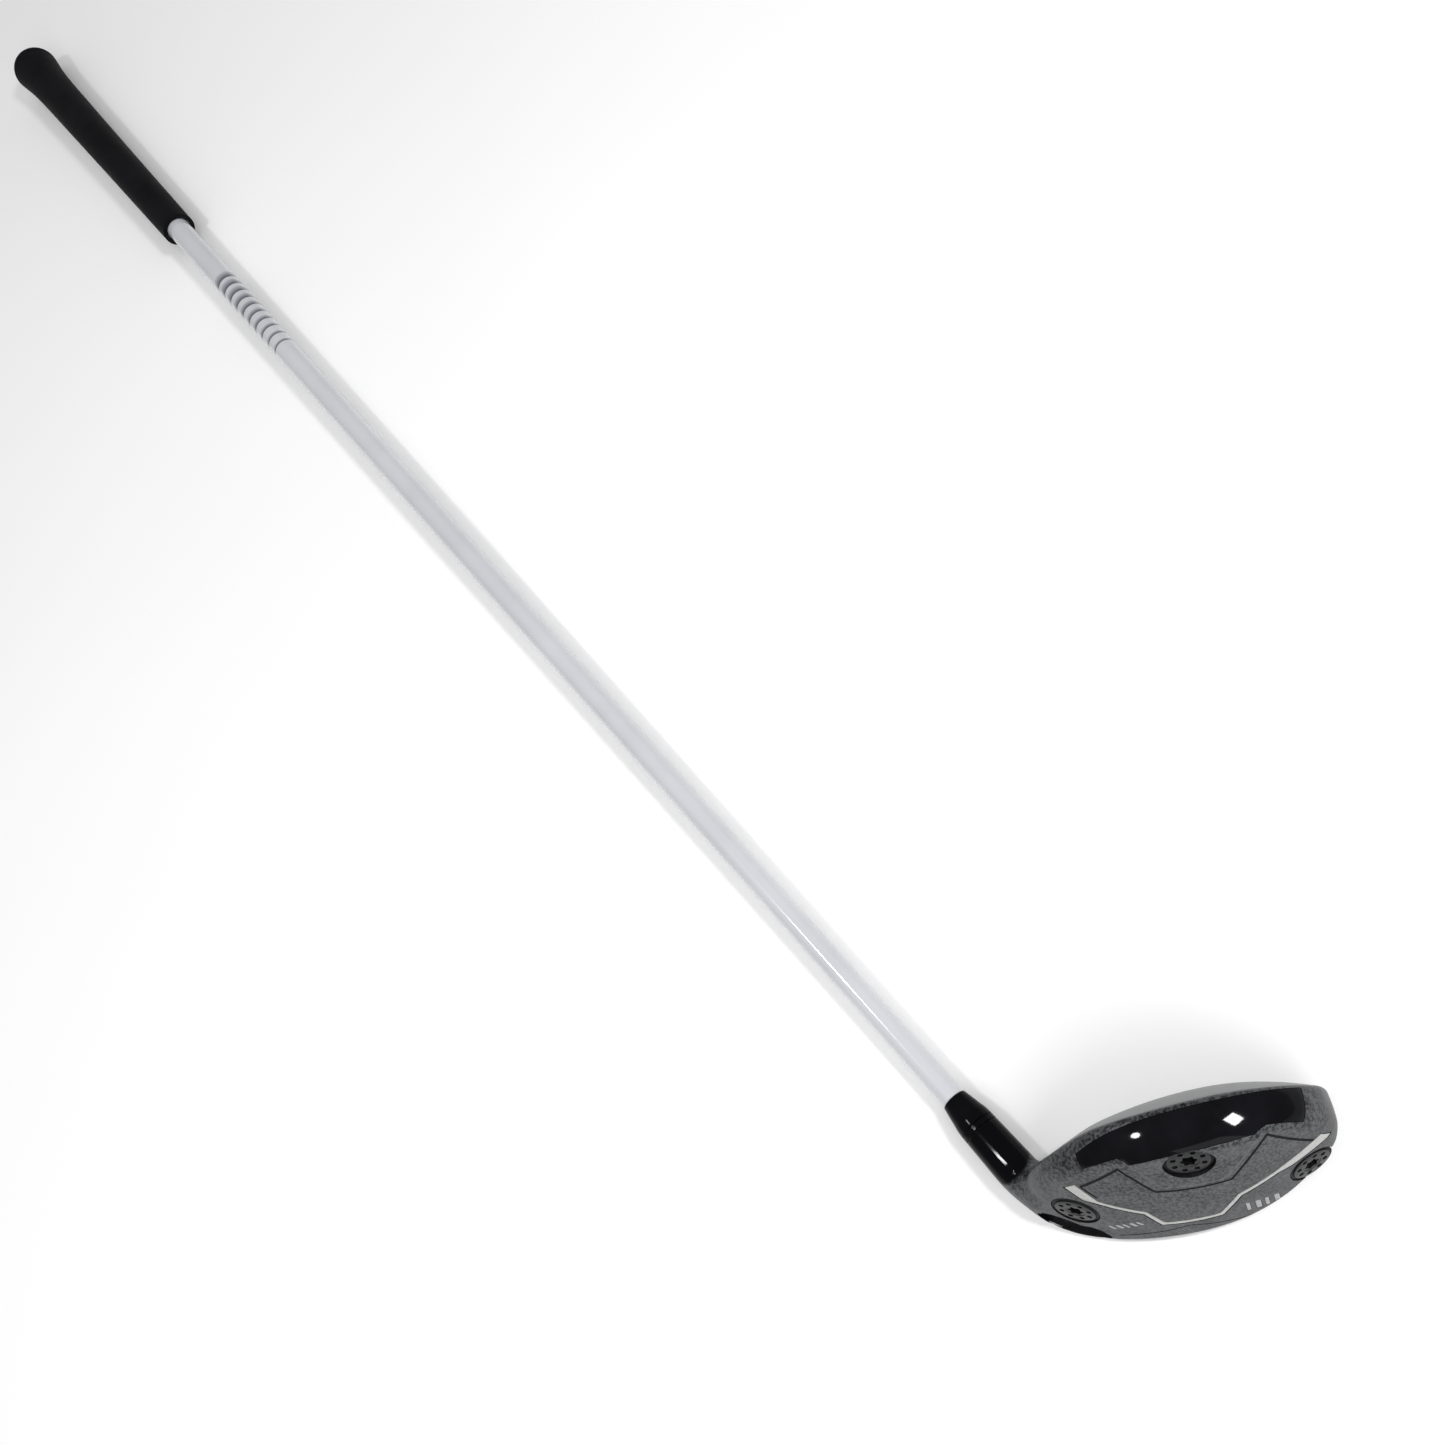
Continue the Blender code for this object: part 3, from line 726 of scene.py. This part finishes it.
def finish(name, colour, other, roughness, metallic=0.0, mottle=1.5, grain=0.3, depth=0.01, stretch=None):
    """A finish mottled between two colours, with uneven roughness and a fine grain."""
    mat, tree, shader = shader_of(name, colour, sum(roughness) / 2, metallic)
    patches = remap(tree, noise(tree, mottle, 4.0, stretch), (0.35, 0.65), (0.0, 1.0))
    tree.links.new(mix_colour(tree, patches, colour, other), shader.inputs["Base Color"])
    tree.links.new(remap(tree, patches, (0.0, 1.0), roughness), shader.inputs["Roughness"])
    if depth:
        roughen(tree, shader, noise(tree, grain, 2.0, stretch), depth)
    return mat, tree, shader


def head_steel():
    """Bead-blasted steel, with the gloss black of the hosel ending in a soft edge."""
    mat, tree, shader = shader_of("head_steel", STEEL_LIGHT, 0.42, 0.9)
    shader.inputs["Specular IOR Level"].default_value = 0.06
    fine = remap(tree, noise(tree, 1.15, 3.0), (0.42, 0.58), (0.0, 1.0))
    cloud = remap(tree, noise(tree, 9.0, 2.0), (0.3, 0.7), (0.0, 0.3))
    share = arithmetic(tree, "ADD", arithmetic(tree, "MULTIPLY", fine, 0.75), cloud, True)
    steel = mix_colour(tree, share, STEEL_DARK, STEEL_LIGHT)
    pits = remap(tree, noise(tree, 1.1, 1.0), (0.27, 0.31), (1.0, 0.0))
    steel = mix_colour(tree, pits, steel, (0.045, 0.047, 0.05))
    normal = PAINT_NORMAL @ np.array(CLUB)[:3, :3].T / MM
    level = float(to_world(PAINT_POINT) @ normal)
    height = vector_math(tree, "DOT_PRODUCT", place(tree), tuple(normal)).outputs["Value"]
    fade = PAINT_FADE * MM
    edge = remap(tree, height, (level - fade, level + fade), (0.0, 1.0))
    edge = arithmetic(tree, "MULTIPLY", edge, near_hosel(tree))
    tree.links.new(mix_colour(tree, edge, steel, GLOSS_BLACK), shader.inputs["Base Color"])
    dull = remap(tree, fine, (0.0, 1.0), (0.36, 0.5))
    links = [(0, edge), (2, dull), (3, 0.045)]
    rough = add_node(tree, "ShaderNodeMix", links, data_type="FLOAT")
    tree.links.new(rough.outputs[0], shader.inputs["Roughness"])
    tree.links.new(remap(tree, edge, (0.0, 1.0), (0.9, 0.0)), shader.inputs["Metallic"])
    bare = remap(tree, edge, (0.0, 1.0), (1.0, 0.0))
    blasted = arithmetic(tree, "MULTIPLY", noise(tree, 0.35, 2.0), bare)
    roughen(tree, shader, blasted, 0.03)
    return mat


def near_hosel(tree):
    """One within reach of the shaft axis, falling to nothing over a millimetre."""
    start, tip = to_world([(0.0, 0.0, 0.0), SHAFT])
    axis = tuple((tip - start) / MM)
    offset = vector_math(tree, "SUBTRACT", place(tree), tuple(start)).outputs[0]
    across = vector_math(tree, "CROSS_PRODUCT", offset, axis).outputs[0]
    reach = vector_math(tree, "LENGTH", across).outputs["Value"]
    return remap(tree, reach, (PAINT_REACH * MM, (PAINT_REACH + 1.0) * MM), (1.0, 0.0))


def gloss_black(name, specular):
    mat, _, shader = finish(name, GLOSS_BLACK, (0.003, 0.003, 0.0038), (0.04, 0.06), mottle=14.0, depth=0)
    shader.inputs["Specular IOR Level"].default_value = specular
    return mat


def face_steel():
    """Bare steel face with a fine, even grain."""
    return finish("face_steel", (0.36, 0.36, 0.37), (0.46, 0.46, 0.47), (0.3, 0.42), metallic=1.0,
                  mottle=4.0, grain=0.5, depth=0.012)[0]


def shaft_paint():
    """Gloss white with a run of navy rings that fade towards the grip."""
    mat, tree, shader = shader_of("shaft_paint", SHAFT_WHITE, 0.16)
    start, axis = to_world([(0.0, 0.0, 0.0), SHAFT])
    axis = (axis - start) / MM
    low = float(start @ axis) + RING_LOW * MM
    along_axis = vector_math(tree, "DOT_PRODUCT", place(tree), tuple(axis)).outputs["Value"]
    count = remap(tree, along_axis, (low, low + RINGS * RING_PITCH * MM), (0.0, RINGS))
    count = add_node(tree, "ShaderNodeClamp", [("Value", count), ("Min", 0.0), ("Max", RINGS)]).outputs[0]
    number = arithmetic(tree, "FLOOR", arithmetic(tree, "SUBTRACT", count, 0.0001))
    share = arithmetic(tree, "SUBTRACT", count, number)
    length = remap(tree, number, (0.0, RINGS - 1.0), RING_LENGTH)
    ink = arithmetic(tree, "SUBTRACT", 1.0, arithmetic(tree, "DIVIDE", share, length), True)
    ink = arithmetic(tree, "POWER", ink, 0.8)
    inside = arithmetic(tree, "LESS_THAN", arithmetic(tree, "ABSOLUTE", arithmetic(
        tree, "SUBTRACT", count, RINGS / 2)), RINGS / 2 - 0.0005)
    ink = arithmetic(tree, "MULTIPLY", ink, inside)
    cloud = remap(tree, noise(tree, 40.0, 2.0), (0.3, 0.7), (0.0, 1.0))
    white = mix_colour(tree, cloud, SHAFT_WHITE, SHAFT_SHADE)
    tree.links.new(mix_colour(tree, ink, white, RING_NAVY), shader.inputs["Base Color"])
    tree.links.new(remap(tree, cloud, (0.0, 1.0), (0.13, 0.19)), shader.inputs["Roughness"])
    shader.inputs["Coat Weight"].default_value = 0.6
    shader.inputs["Coat Roughness"].default_value = 0.06
    return mat


def grip_rubber():
    """Soft black rubber: a fine pebbled skin with faint wear."""
    mat, tree, shader = shader_of("grip_rubber", RUBBER, 0.6)
    shader.inputs["Specular IOR Level"].default_value = 0.04
    wear = remap(tree, noise(tree, 22.0, 3.0), (0.35, 0.65), (0.0, 1.0))
    tree.links.new(mix_colour(tree, wear, RUBBER, RUBBER_WORN), shader.inputs["Base Color"])
    tree.links.new(remap(tree, wear, (0.0, 1.0), (0.52, 0.68)), shader.inputs["Roughness"])
    cells = add_node(tree, "ShaderNodeTexVoronoi", [("Vector", place(tree)), ("Scale", 1.0 / (0.9 * MM))])
    pebbles = remap(tree, cells.outputs["Distance"], (0.0, 0.7), (1.0, 0.0))
    roughen(tree, shader, pebbles, 0.06, 0.8)
    return mat


def all_materials():
    mats = {"steel": head_steel(), "black": gloss_black("gloss_black", 0.05),
            "band": gloss_black("band_black", 0.06), "face": face_steel(), "shaft": shaft_paint(),
            "rubber": grip_rubber()}
    simple = {
        # Near black for the walls and floors of cuts: painted shade in the recesses.
        "pocket": ((0.004, 0.004, 0.005), (0.008, 0.008, 0.009), (0.5, 0.7), 0.0, 3.0),
        # Near black for grooves and channel walls: painted shade.
        "groove": ((0.003, 0.003, 0.004), (0.006, 0.006, 0.007), (0.6, 0.8), 0.0, 2.0),
        "crown": (CROWN_DARK, CROWN_LIGHT, (0.4, 0.52), 0.45, 1.2),
        "stripe": (STRIPE, STRIPE_SHADE, (0.3, 0.42), 0.0, 1.6),
        "weight": ((0.014, 0.0145, 0.0155), (0.034, 0.035, 0.037), (0.34, 0.46), 0.9, 0.8),
        # Near black on the weights' recessed collars: painted shade in the gap round each weight.
        "rim": ((0.004, 0.004, 0.005), (0.009, 0.009, 0.01), (0.5, 0.65), 0.0, 1.5),
        # The trim bars' own grey, also laid in the port as a painted highlight.
        "mark": ((0.26, 0.26, 0.265), (0.38, 0.38, 0.385), (0.28, 0.4), 0.7, 0.9),
        "screw": ((0.30, 0.30, 0.31), (0.42, 0.42, 0.43), (0.25, 0.4), 1.0, 1.5),
        "rubber_ring": ((0.012, 0.012, 0.013), (0.03, 0.03, 0.03), (0.6, 0.75), 0.0, 0.8),
        "plug": ((0.55, 0.48, 0.33), (0.66, 0.6, 0.45), (0.45, 0.6), 0.0, 1.5),
        "tape": ((0.50, 0.45, 0.35), (0.62, 0.57, 0.46), (0.75, 0.9), 0.0, 2.5),
        "sleeve": ((0.02, 0.02, 0.022), (0.05, 0.05, 0.055), (0.28, 0.4), 0.6, 2.0),
    }
    for name, (colour, other, roughness, metallic, mottle) in simple.items():
        mats[name], _, shader = finish(name, colour, other, roughness, metallic, mottle)
        # A low specular keeps this painted shade of recesses, grooves and rims near black.
        if name in ("pocket", "groove", "rim"):
            shader.inputs["Specular IOR Level"].default_value = 0.12
    return mats


# ---------------------------------------------------------------- pieces of the head


def band_columns(grow=0.0):
    """The gloss band on the rear wall: stepped low edge, and an end slanted at the toe."""
    columns = []
    low_x, low_z = np.array(BAND_LOW).T
    high_x, high_z = np.array(BAND_HIGH).T
    for stop in refine(BAND_LOW, 1.5):
        share = np.interp(stop, np.arange(len(low_x)), low_x)
        z0 = np.interp(stop, np.arange(len(low_x)), low_z) - grow
        z1 = np.interp(share, high_x, high_z) + grow
        lean = BAND_LEAN * np.clip((share - 74.0) / 12.0, 0.0, 1.0)
        end = grow * (1.0 if stop >= len(low_x) - 1 else -1.0 if stop == 0 else 0.0)
        shares = np.linspace(0.0, 1.0, 7)
        columns.append(np.column_stack([share + end + lean * shares, z0 + (z1 - z0) * shares]))
    return columns


def crown_columns(grow=0.0):
    columns = []
    for x in np.concatenate([[CROWN_ENDS[0] - grow], np.arange(10.0, 90.0, 2.5), [CROWN_ENDS[1] + grow]]):
        front = face_y(x, crown_z(x, -9.0)) - 3.2 + grow
        rear = np.interp(x, REAR_CURVE[:, 0], REAR_CURVE[:, 1]) + 2.6 - grow
        columns.append(np.column_stack([np.full(14, x), np.linspace(front, rear, 14)]))
    return columns


def face_columns(grow=0.0):
    columns = []
    for x in np.concatenate([[FACE_ENDS[0] - grow], np.arange(12.0, 82.0, 3.0), [FACE_ENDS[1] + grow]]):
        low = sole_z(x, lead_y(x)) + 4.2 + 0.5 * max(0.0, 14.0 - x) + 0.8 * max(0.0, x - 66.0) - grow
        high = crown_z(x, -9.0) - 3.4 - 0.5 * max(0.0, x - 76.0) + grow
        columns.append(np.column_stack([np.full(24, x), np.linspace(low, high, 24)]))
    return columns


def stripe_edges():
    edges = np.array(STRIPE_EDGES, float)
    return edges[:, :2], edges[:, 2:]


def groove_lines():
    return [mitred(line, width) for line, width in ((GROOVE, 1.05), (GROOVE_RETURN, 0.9), (LEAD_LINE, 0.5))]


def mark_bars():
    """Slanted bars in place of lettering: (left edge, right edge) of each."""
    bars = []
    for start, end, count, tall in MARKS:
        start, end = np.array(start), np.array(end)
        run = (end - start) / count
        across = np.array([-run[1], run[0]]) / np.linalg.norm(run)
        lean = run / np.linalg.norm(run) * tall * 0.35
        for number in range(count):
            foot = start + run * (number + 0.2)
            width = run * (0.55 if number % 2 else 0.4)
            head = foot + across * tall + lean
            bars.append(([foot, head], [foot + width, head + width]))
    return bars


def head_tools(mats):
    """Everything cut from the head's skin; the cuts line their walls with near-black painted shade, except
    a painted highlight at the port's heel end.
    """
    pocket, channel_shade = [mats["pocket"]], [mats["groove"]]
    tools = []
    for name, (centre, out) in WEIGHTS.items():
        bore = [(-WEIGHT_DEPTH - GAP, 0.0), (-WEIGHT_DEPTH - GAP, WEIGHT_R + 0.25)]
        bore += [(6.0, WEIGHT_R + 0.25), (6.0, 0.0)]
        tools.append(turned(name + "_bore", bore, centre, out, pocket))
    port = [(-14.0, 0.0), (-14.0, PORT_R + 0.6), (-8.0, PORT_R + 0.6), (-1.0, PORT_R), (FLOOR_LOW, PORT_R)]
    port += [(FLOOR_LOW, SCREW_R + 0.4), (FLOOR_HIGH, SCREW_R + 0.4), (FLOOR_HIGH, SLEEVE_R + GAP)]
    port += [(SEAM + 4.0, SLEEVE_R + GAP), (SEAM + 4.0, 0.0)]
    # The port recess is lined with near-black painted shade of the hole; the pale patch at its heel end is
    # a painted highlight in the trim bars' grey.
    recesses = (("port_recess", PORT_RECESS, 2.6, "pocket"), ("port_lip", PORT_GLINT_PATCH, 0.9, "mark"))
    for name, outline, depth, mat in recesses:
        left, right = np.array(outline)[:, :2], np.array(outline)[:, 2:]
        tools.append(ribbon(name, left, right, 2.0, depth, [mats[mat]], plain_sole, spacing=0.8, rows=8))
    # The hosel bore's mouth in the sole is lined with near-black painted shade.
    tools.append(turned("hosel_bore_tool", port, (0, 0, 0), SHAFT, [mats["pocket"]], 64))
    left, right = stripe_edges()
    # The stripe's channel is wider than the stripe, so its dark walls outline the stripe in painted shade.
    tools.append(ribbon("stripe_channel", left, right, 1.0, 0.45, channel_shade, grow=0.42))
    for number, (left, right) in enumerate(groove_lines()):
        tools.append(ribbon(f"groove_channel_{number}", left, right, 1.0, 0.5, channel_shade, rows=2))
    # The bars' channels are a little wider than the bars, so their dark walls outline the bars in painted
    # shade.
    for number, (left, right) in enumerate(mark_bars()):
        tools.append(ribbon(f"mark_channel_{number}", left, right, 1.0, 0.3, channel_shade, grow=0.14, rows=2))
    tools.append(panel("band_recess", band_columns(0.12), rear_hit, 1.5, BAND_DEPTH, pocket))
    tools.append(panel("crown_recess", crown_columns(0.12), crown_hit, 1.5, 1.0, pocket))
    tools.append(panel("face_recess", face_columns(0.12), face_hit, 1.5, 1.2, pocket))
    return tools


def build_head(mats):
    points, quads = skin_mesh()
    tools = head_tools(mats)
    head = add_mesh("head_shell", points, quads, [mats["steel"]])
    cut(head, tools, 34.0)
    keep(head, "head", "head_body")

    left, right = stripe_edges()
    stripe = soften(ribbon("sole_stripe", left, right, -0.02, 0.4, [mats["stripe"]]), 0.12)
    keep(stripe, "head")
    # Near-black sheets set down in the grooves are painted shade.
    for number, (left, right) in enumerate(groove_lines()):
        line = ribbon(f"groove_fill_{number}", left, right, -0.1, 0.46, [mats["groove"]], grow=-0.03)
        keep(line, "head")
    for number, (left, right) in enumerate(mark_bars()):
        bar = ribbon(f"trim_bar_{number}", left, right, 0.0, 0.26, [mats["mark"]], rows=2)
        keep(soften(bar, 0.06), "head")

    band = panel("skirt_band", band_columns(0.0), rear_hit, -0.03, BAND_DEPTH - 0.1, [mats["band"]])
    keep(soften(band, 0.15, 3), "head", "rear_skirt_panel")
    crown = panel("crown_cover", crown_columns(0.0), crown_hit, -0.02, 0.9, [mats["crown"]])
    keep(soften(crown, 0.15, 3), "head", "crown")
    face = build_face(mats)
    keep(face, "head", "face_plate")


def build_face(mats):
    """The face plate, with its score lines pressed in."""
    plate = panel("face_insert", face_columns(0.0), face_hit, -0.02, 1.1, [mats["face"]])
    tools = []
    for number in range(SCORE_LINES):
        line = []
        for x in np.linspace(18.0, 74.0, 29):
            middle = sole_z(39.5, lead_y(39.5)) + SCORE_START + number * SCORE_PITCH
            line.append((x, middle))
        low, high = np.array(line) - (0.0, SCORE_HALF), np.array(line) + (0.0, SCORE_HALF)
        name = f"score_{number}"
        # Each score line is lined with near-black painted shade.
        tools.append(ribbon(name, low, high, 1.0, SCORE_DEPTH, [mats["pocket"]], face_hit, rows=2))
    return cut(plate, tools)


def star_prism(name, origin, out, low, high, radius, mats):
    """A six-lobed socket's form, along an axis."""
    frame_axes = axes_for(out)
    points, count = [], 36
    for height in (low, high):
        for i in range(count):
            angle = 2 * math.pi * i / count
            r = radius * (1.0 + 0.16 * math.cos(6 * angle))
            points.append((r * math.cos(angle), r * math.sin(angle), height))
    faces = [[i, (i + 1) % count, (i + 1) % count + count, i + count] for i in range(count)]
    faces += [list(range(count)), list(range(count, 2 * count))]
    return add_mesh(name, np.array(points) @ frame_axes + origin, faces, mats)


def axes_for(direction):
    """Rows: two directions across an axis, and the axis itself."""
    axis = np.asarray(direction, float) / np.linalg.norm(direction)
    side = np.cross(axis, (0.0, 1.0, 0.0))
    side /= np.linalg.norm(side)
    return np.array([side, np.cross(axis, side), axis])


def build_weights(mats):
    for name, (centre, out) in WEIGHTS.items():
        profile = [(-WEIGHT_DEPTH, 0.0), (-WEIGHT_DEPTH, 7.5)]
        zones = [0, 0]
        for turn in range(6):
            height = -WEIGHT_DEPTH + 0.35 + turn * 0.55
            profile += [(height, 7.75), (height + 0.28, 8.15)]
            zones += [0, 0]
        # The collar faces take the rim material, near black as painted shade in the gap round the weight.
        profile += [(-1.5, 7.75), (-1.3, 8.3), (-0.5, 8.3), (-0.55, 7.25)]
        zones += [0, 1, 1, 1]
        profile += [(-0.08, 7.15), (0.0, 6.95), (0.0, 3.6), (-0.15, 3.45), (-0.15, 0.0)]
        zones += [0, 0, 0, 0, 0]
        zones = zones[:len(profile) - 1]
        weight = turned(name + "_disc", profile, centre, out, [mats["weight"], mats["rim"]], zones=zones)
        # The star socket and dimples are lined with near-black painted shade.
        tools = [star_prism(name + "_star", np.array(centre), out, -3.0, 1.0, 2.5, [mats["pocket"]])]
        axes = axes_for(out)
        for number in range(8):
            angle = math.radians(22.5 + 45 * number)
            spot = np.array(centre) + DIMPLE_RING * (math.cos(angle) * axes[0] + math.sin(angle) * axes[1])
            dimple = [(-0.9, 0.0), (-0.9, DIMPLE_R * 0.6), (-0.6, DIMPLE_R), (1.0, DIMPLE_R), (1.0, 0.0)]
            tools.append(turned(f"{name}_dimple_{number}", dimple, spot, out, [mats["pocket"]], 20))
        cut(weight, tools)
        keep(weight, name + "_body", name)


# ---------------------------------------------------------------- hosel parts, shaft and grip


def build_hosel_parts(mats):
    collar = SEAM + 2.4
    sleeve = [(SLEEVE_LOW, SLEEVE_R - 0.4), (SLEEVE_LOW + 0.4, SLEEVE_R)]
    for height in (30.0, 33.0, 36.0, 39.0, 42.0, 45.0):
        sleeve += [(height, SLEEVE_R), (height + 0.3, SLEEVE_R - 0.3), (height + 0.9, SLEEVE_R - 0.3)]
        sleeve += [(height + 1.2, SLEEVE_R)]
    sleeve += [(SEAM + 0.12, SLEEVE_R), (SEAM + 0.12, HOSEL_TOP_R - 0.25)]
    sleeve += [(SEAM + 0.35, HOSEL_TOP_R - 0.02)]
    black_from = len(sleeve) - 2
    sleeve += [(collar - 0.2, HOSEL_TOP_R - 0.05), (collar, HOSEL_TOP_R - 0.25), (collar, SOCKET_R)]
    sleeve += [(TIP_END - 1.0, SOCKET_R), (TIP_END - 1.0, SCREW_R + GAP), (SLEEVE_LOW, SCREW_R + GAP)]
    zones = [1 if black_from <= i < black_from + 4 else 0 for i in range(len(sleeve))]
    piece = turned("hosel_adapter", sleeve, (0, 0, 0), SHAFT, [mats["sleeve"], mats["black"]], zones=zones)
    keep(piece, "shaft_body", "adapter_sleeve")

    low = collar + 0.1
    ferrule = [(low, HOSEL_TOP_R - 0.3), (low + 0.25, HOSEL_TOP_R - 0.08)]
    ferrule += [tuple(p) for p in smooth_curve(FERRULE_PROFILE, 6)]
    ferrule += [(FERRULE_TOP, SHAFT_TIP_R + 0.2), (low, SOCKET_R)]
    piece = turned("tip_ferrule", ferrule, (0, 0, 0), SHAFT, [mats["black"]])
    keep(piece, "shaft_body", "ferrule")

    head_top, head_low = 18.4, 14.4
    screw = [(head_low + 0.15, 0.0), (head_low + 0.15, 1.0), (head_low, 2.6)]
    screw += [(head_low, SCREW_HEAD_R - 0.5), (head_low + 0.15, SCREW_HEAD_R - 0.15)]
    screw += [(head_low + 0.5, SCREW_HEAD_R), (head_top, SCREW_HEAD_R), (head_top, SCREW_R)]
    for turn in range(18):
        height = head_top + 2.0 + turn * 0.55
        screw += [(height, SCREW_R - 0.28), (height + 0.27, SCREW_R)]
    screw += [(TIP_END - 2.2, SCREW_R - 0.3), (TIP_END - 2.0, SCREW_R - 0.6), (TIP_END - 2.0, 0.0)]
    piece = turned("clamp_screw", screw, (0, 0, 0), SHAFT, [mats["screw"]], 48)
    socket = (head_low - 2.0, head_low + 2.6, 1.7)
    # The screw's star socket is lined with near-black painted shade.
    cut(piece, [star_prism("screw_star", np.zeros(3), SHAFT, *socket, [mats["pocket"]])])
    keep(piece, "screw_body", "hosel_screw")


def shaft_radius(height):
    stops = [TIP_END, FERRULE_TOP, GRIP_MOUTH, BUTT_END]
    return np.interp(height, stops, [SHAFT_TIP_R, SHAFT_TIP_R, SHAFT_MOUTH_R, SHAFT_BUTT_R])


def build_shaft(mats):
    heights = [TIP_END, TIP_END + 0.4, FERRULE_TOP]
    heights += [*np.arange(80.0, GRIP_MOUTH, 30.0), GRIP_MOUTH, BUTT_END]
    outside = [(h, float(shaft_radius(h)) - 0.02) for h in heights]
    inside = [(h, r - SHAFT_WALL) for h, r in reversed(outside)]
    piece = turned("club_shaft", outside + inside, (0, 0, 0), SHAFT, [mats["shaft"]])
    keep(piece, "shaft_body", "shaft")


def build_grip(mats):
    outline = smooth_curve(GRIP_PROFILE, 10)
    outside = [(GRIP_MOUTH, GRIP_MOUTH_R - 1.0), (GRIP_MOUTH + 0.2, GRIP_MOUTH_R - 0.5)]
    outside += [(h, r) for h, r in outline]
    end = CAP_START - 0.12
    inside = [(end, SHAFT_BUTT_R + 0.95), (GRIP_MOUTH, SHAFT_MOUTH_R + 0.5)]
    piece = turned("rubber_grip", outside + inside, (0, 0, 0), SHAFT, [mats["rubber"]])
    keep(piece, "shaft_body", "grip")

    cap = [(CAP_START + 0.12, CAP_R - 0.5), (CAP_START + 0.5, CAP_R - 0.2)]
    cap += [tuple(p) for p in smooth_curve(CAP_PROFILE, 6)]
    cap += [(CLUB_LENGTH - 0.02, 7.2), (CLUB_LENGTH - 0.5, 6.9), (CLUB_LENGTH - 0.5, 6.3)]
    cap += [(CLUB_LENGTH - 0.02, 6.0), (CLUB_LENGTH - 0.02, 2.4), (CLUB_LENGTH - 0.5, VENT_R)]
    cap += [(CAP_START + 0.12, VENT_R)]
    piece = turned("rubber_cap", cap, (0, 0, 0), SHAFT, [mats["rubber"]])
    keep(piece, "shaft_body", "grip_cap")


def keep(piece, body, node=None):
    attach(piece, body)
    if node:
        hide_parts(node)
    return piece


def finish_carried_nodes(mats):
    for node, mat in (("screw_washer", "screw"), ("screw_retainer", "rubber_ring"), ("tip_plug", "plug"),
                      ("grip_tape", "tape")):
        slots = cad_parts[node].material_slots
        for slot in slots:
            slot.material = mats[mat]


# ---------------------------------------------------------------- floor, light and camera


def build_floor():
    size, count = 7.0, 2
    steps = np.linspace(-size, size, count)
    points = [(x + 0.2, y, 0.0) for x in steps for y in steps]
    mesh = bpy.data.meshes.new("floor")
    mesh.from_pydata(points, [], [(0, 2, 3, 1)])
    mat, tree, shader = shader_of("floor_paper", FLOOR_WHITE, 0.9)
    shade_of = remap(tree, noise(tree, 300.0, 2.0), (0.3, 0.7), (0.0, 1.0))
    tree.links.new(mix_colour(tree, shade_of, FLOOR_WHITE, FLOOR_SHADE), shader.inputs["Base Color"])
    mesh.materials.append(mat)
    floor = bpy.data.objects.new("floor", mesh)
    bpy.context.scene.collection.objects.link(floor)


def area_light(name, azimuth, elevation, distance, size, radiance, roll, shape, target):
    """A light aimed at the head from a direction in degrees; its width lies along the shaft."""
    azimuth, elevation = math.radians(azimuth), math.radians(elevation)
    level = math.cos(elevation)
    out = Vector((level * math.cos(azimuth), level * math.sin(azimuth), math.sin(elevation)))
    light = bpy.data.lights.new(name, "AREA")
    light.shape = shape
    light.size, light.size_y = size
    share = math.pi / 4 if shape == "ELLIPSE" else 1.0
    light.energy = radiance * math.pi * size[0] * size[1] * share
    obj = bpy.data.objects.new(name, light)
    side = Vector((1.0, 0.0, 0.0))
    side = (side - out * side.dot(out)).normalized()
    turn = Matrix((side, out.cross(side), out)).transposed() @ Matrix.Rotation(math.radians(roll), 3, "Z")
    obj.matrix_world = Matrix.Translation(target + out * distance) @ turn.to_4x4()
    bpy.context.scene.collection.objects.link(obj)


def build_world():
    bpy.context.scene.view_settings.view_transform = "Standard"
    world = bpy.data.worlds.new("studio")
    world.use_nodes = True
    back = world.node_tree.nodes["Background"]
    back.inputs["Color"].default_value = (1.0, 1.0, 1.0, 1.0)
    back.inputs["Strength"].default_value = WORLD_STRENGTH
    bpy.context.scene.world = world


def build_camera():
    camera = bpy.data.cameras.new("camera")
    camera.lens = CAMERA_LENS
    camera.sensor_width = 36.0
    camera.clip_start = 0.05
    obj = bpy.data.objects.new("camera", camera)
    right, down, ahead = (np.array(v) for v in CAMERA_AXES)
    turn = np.array(CLUB)[:3, :3] / MM @ np.column_stack([right, -down, -ahead])
    obj.matrix_world = Matrix.Translation(to_world(CAMERA_PLACE)) @ Matrix(turn).to_4x4()
    bpy.context.scene.collection.objects.link(obj)
    bpy.context.scene.camera = obj


def build_lights():
    head = Vector(to_world((40.0, -50.0, 18.0)))
    for light in LIGHTS:
        area_light(*light, head)
    for name, pieces in LIT_PIECES.items():
        lit = bpy.data.collections.new(name + "_pieces")
        for piece in pieces:
            lit.objects.link(bpy.data.objects[piece])
        bpy.data.objects[name].light_linking.receiver_collection = lit


def build_all():
    mats = all_materials()
    build_head(mats)
    build_weights(mats)
    build_hosel_parts(mats)
    build_shaft(mats)
    build_grip(mats)
    finish_carried_nodes(mats)
    build_floor()
    build_world()
    build_lights()
    build_camera()


build_all()
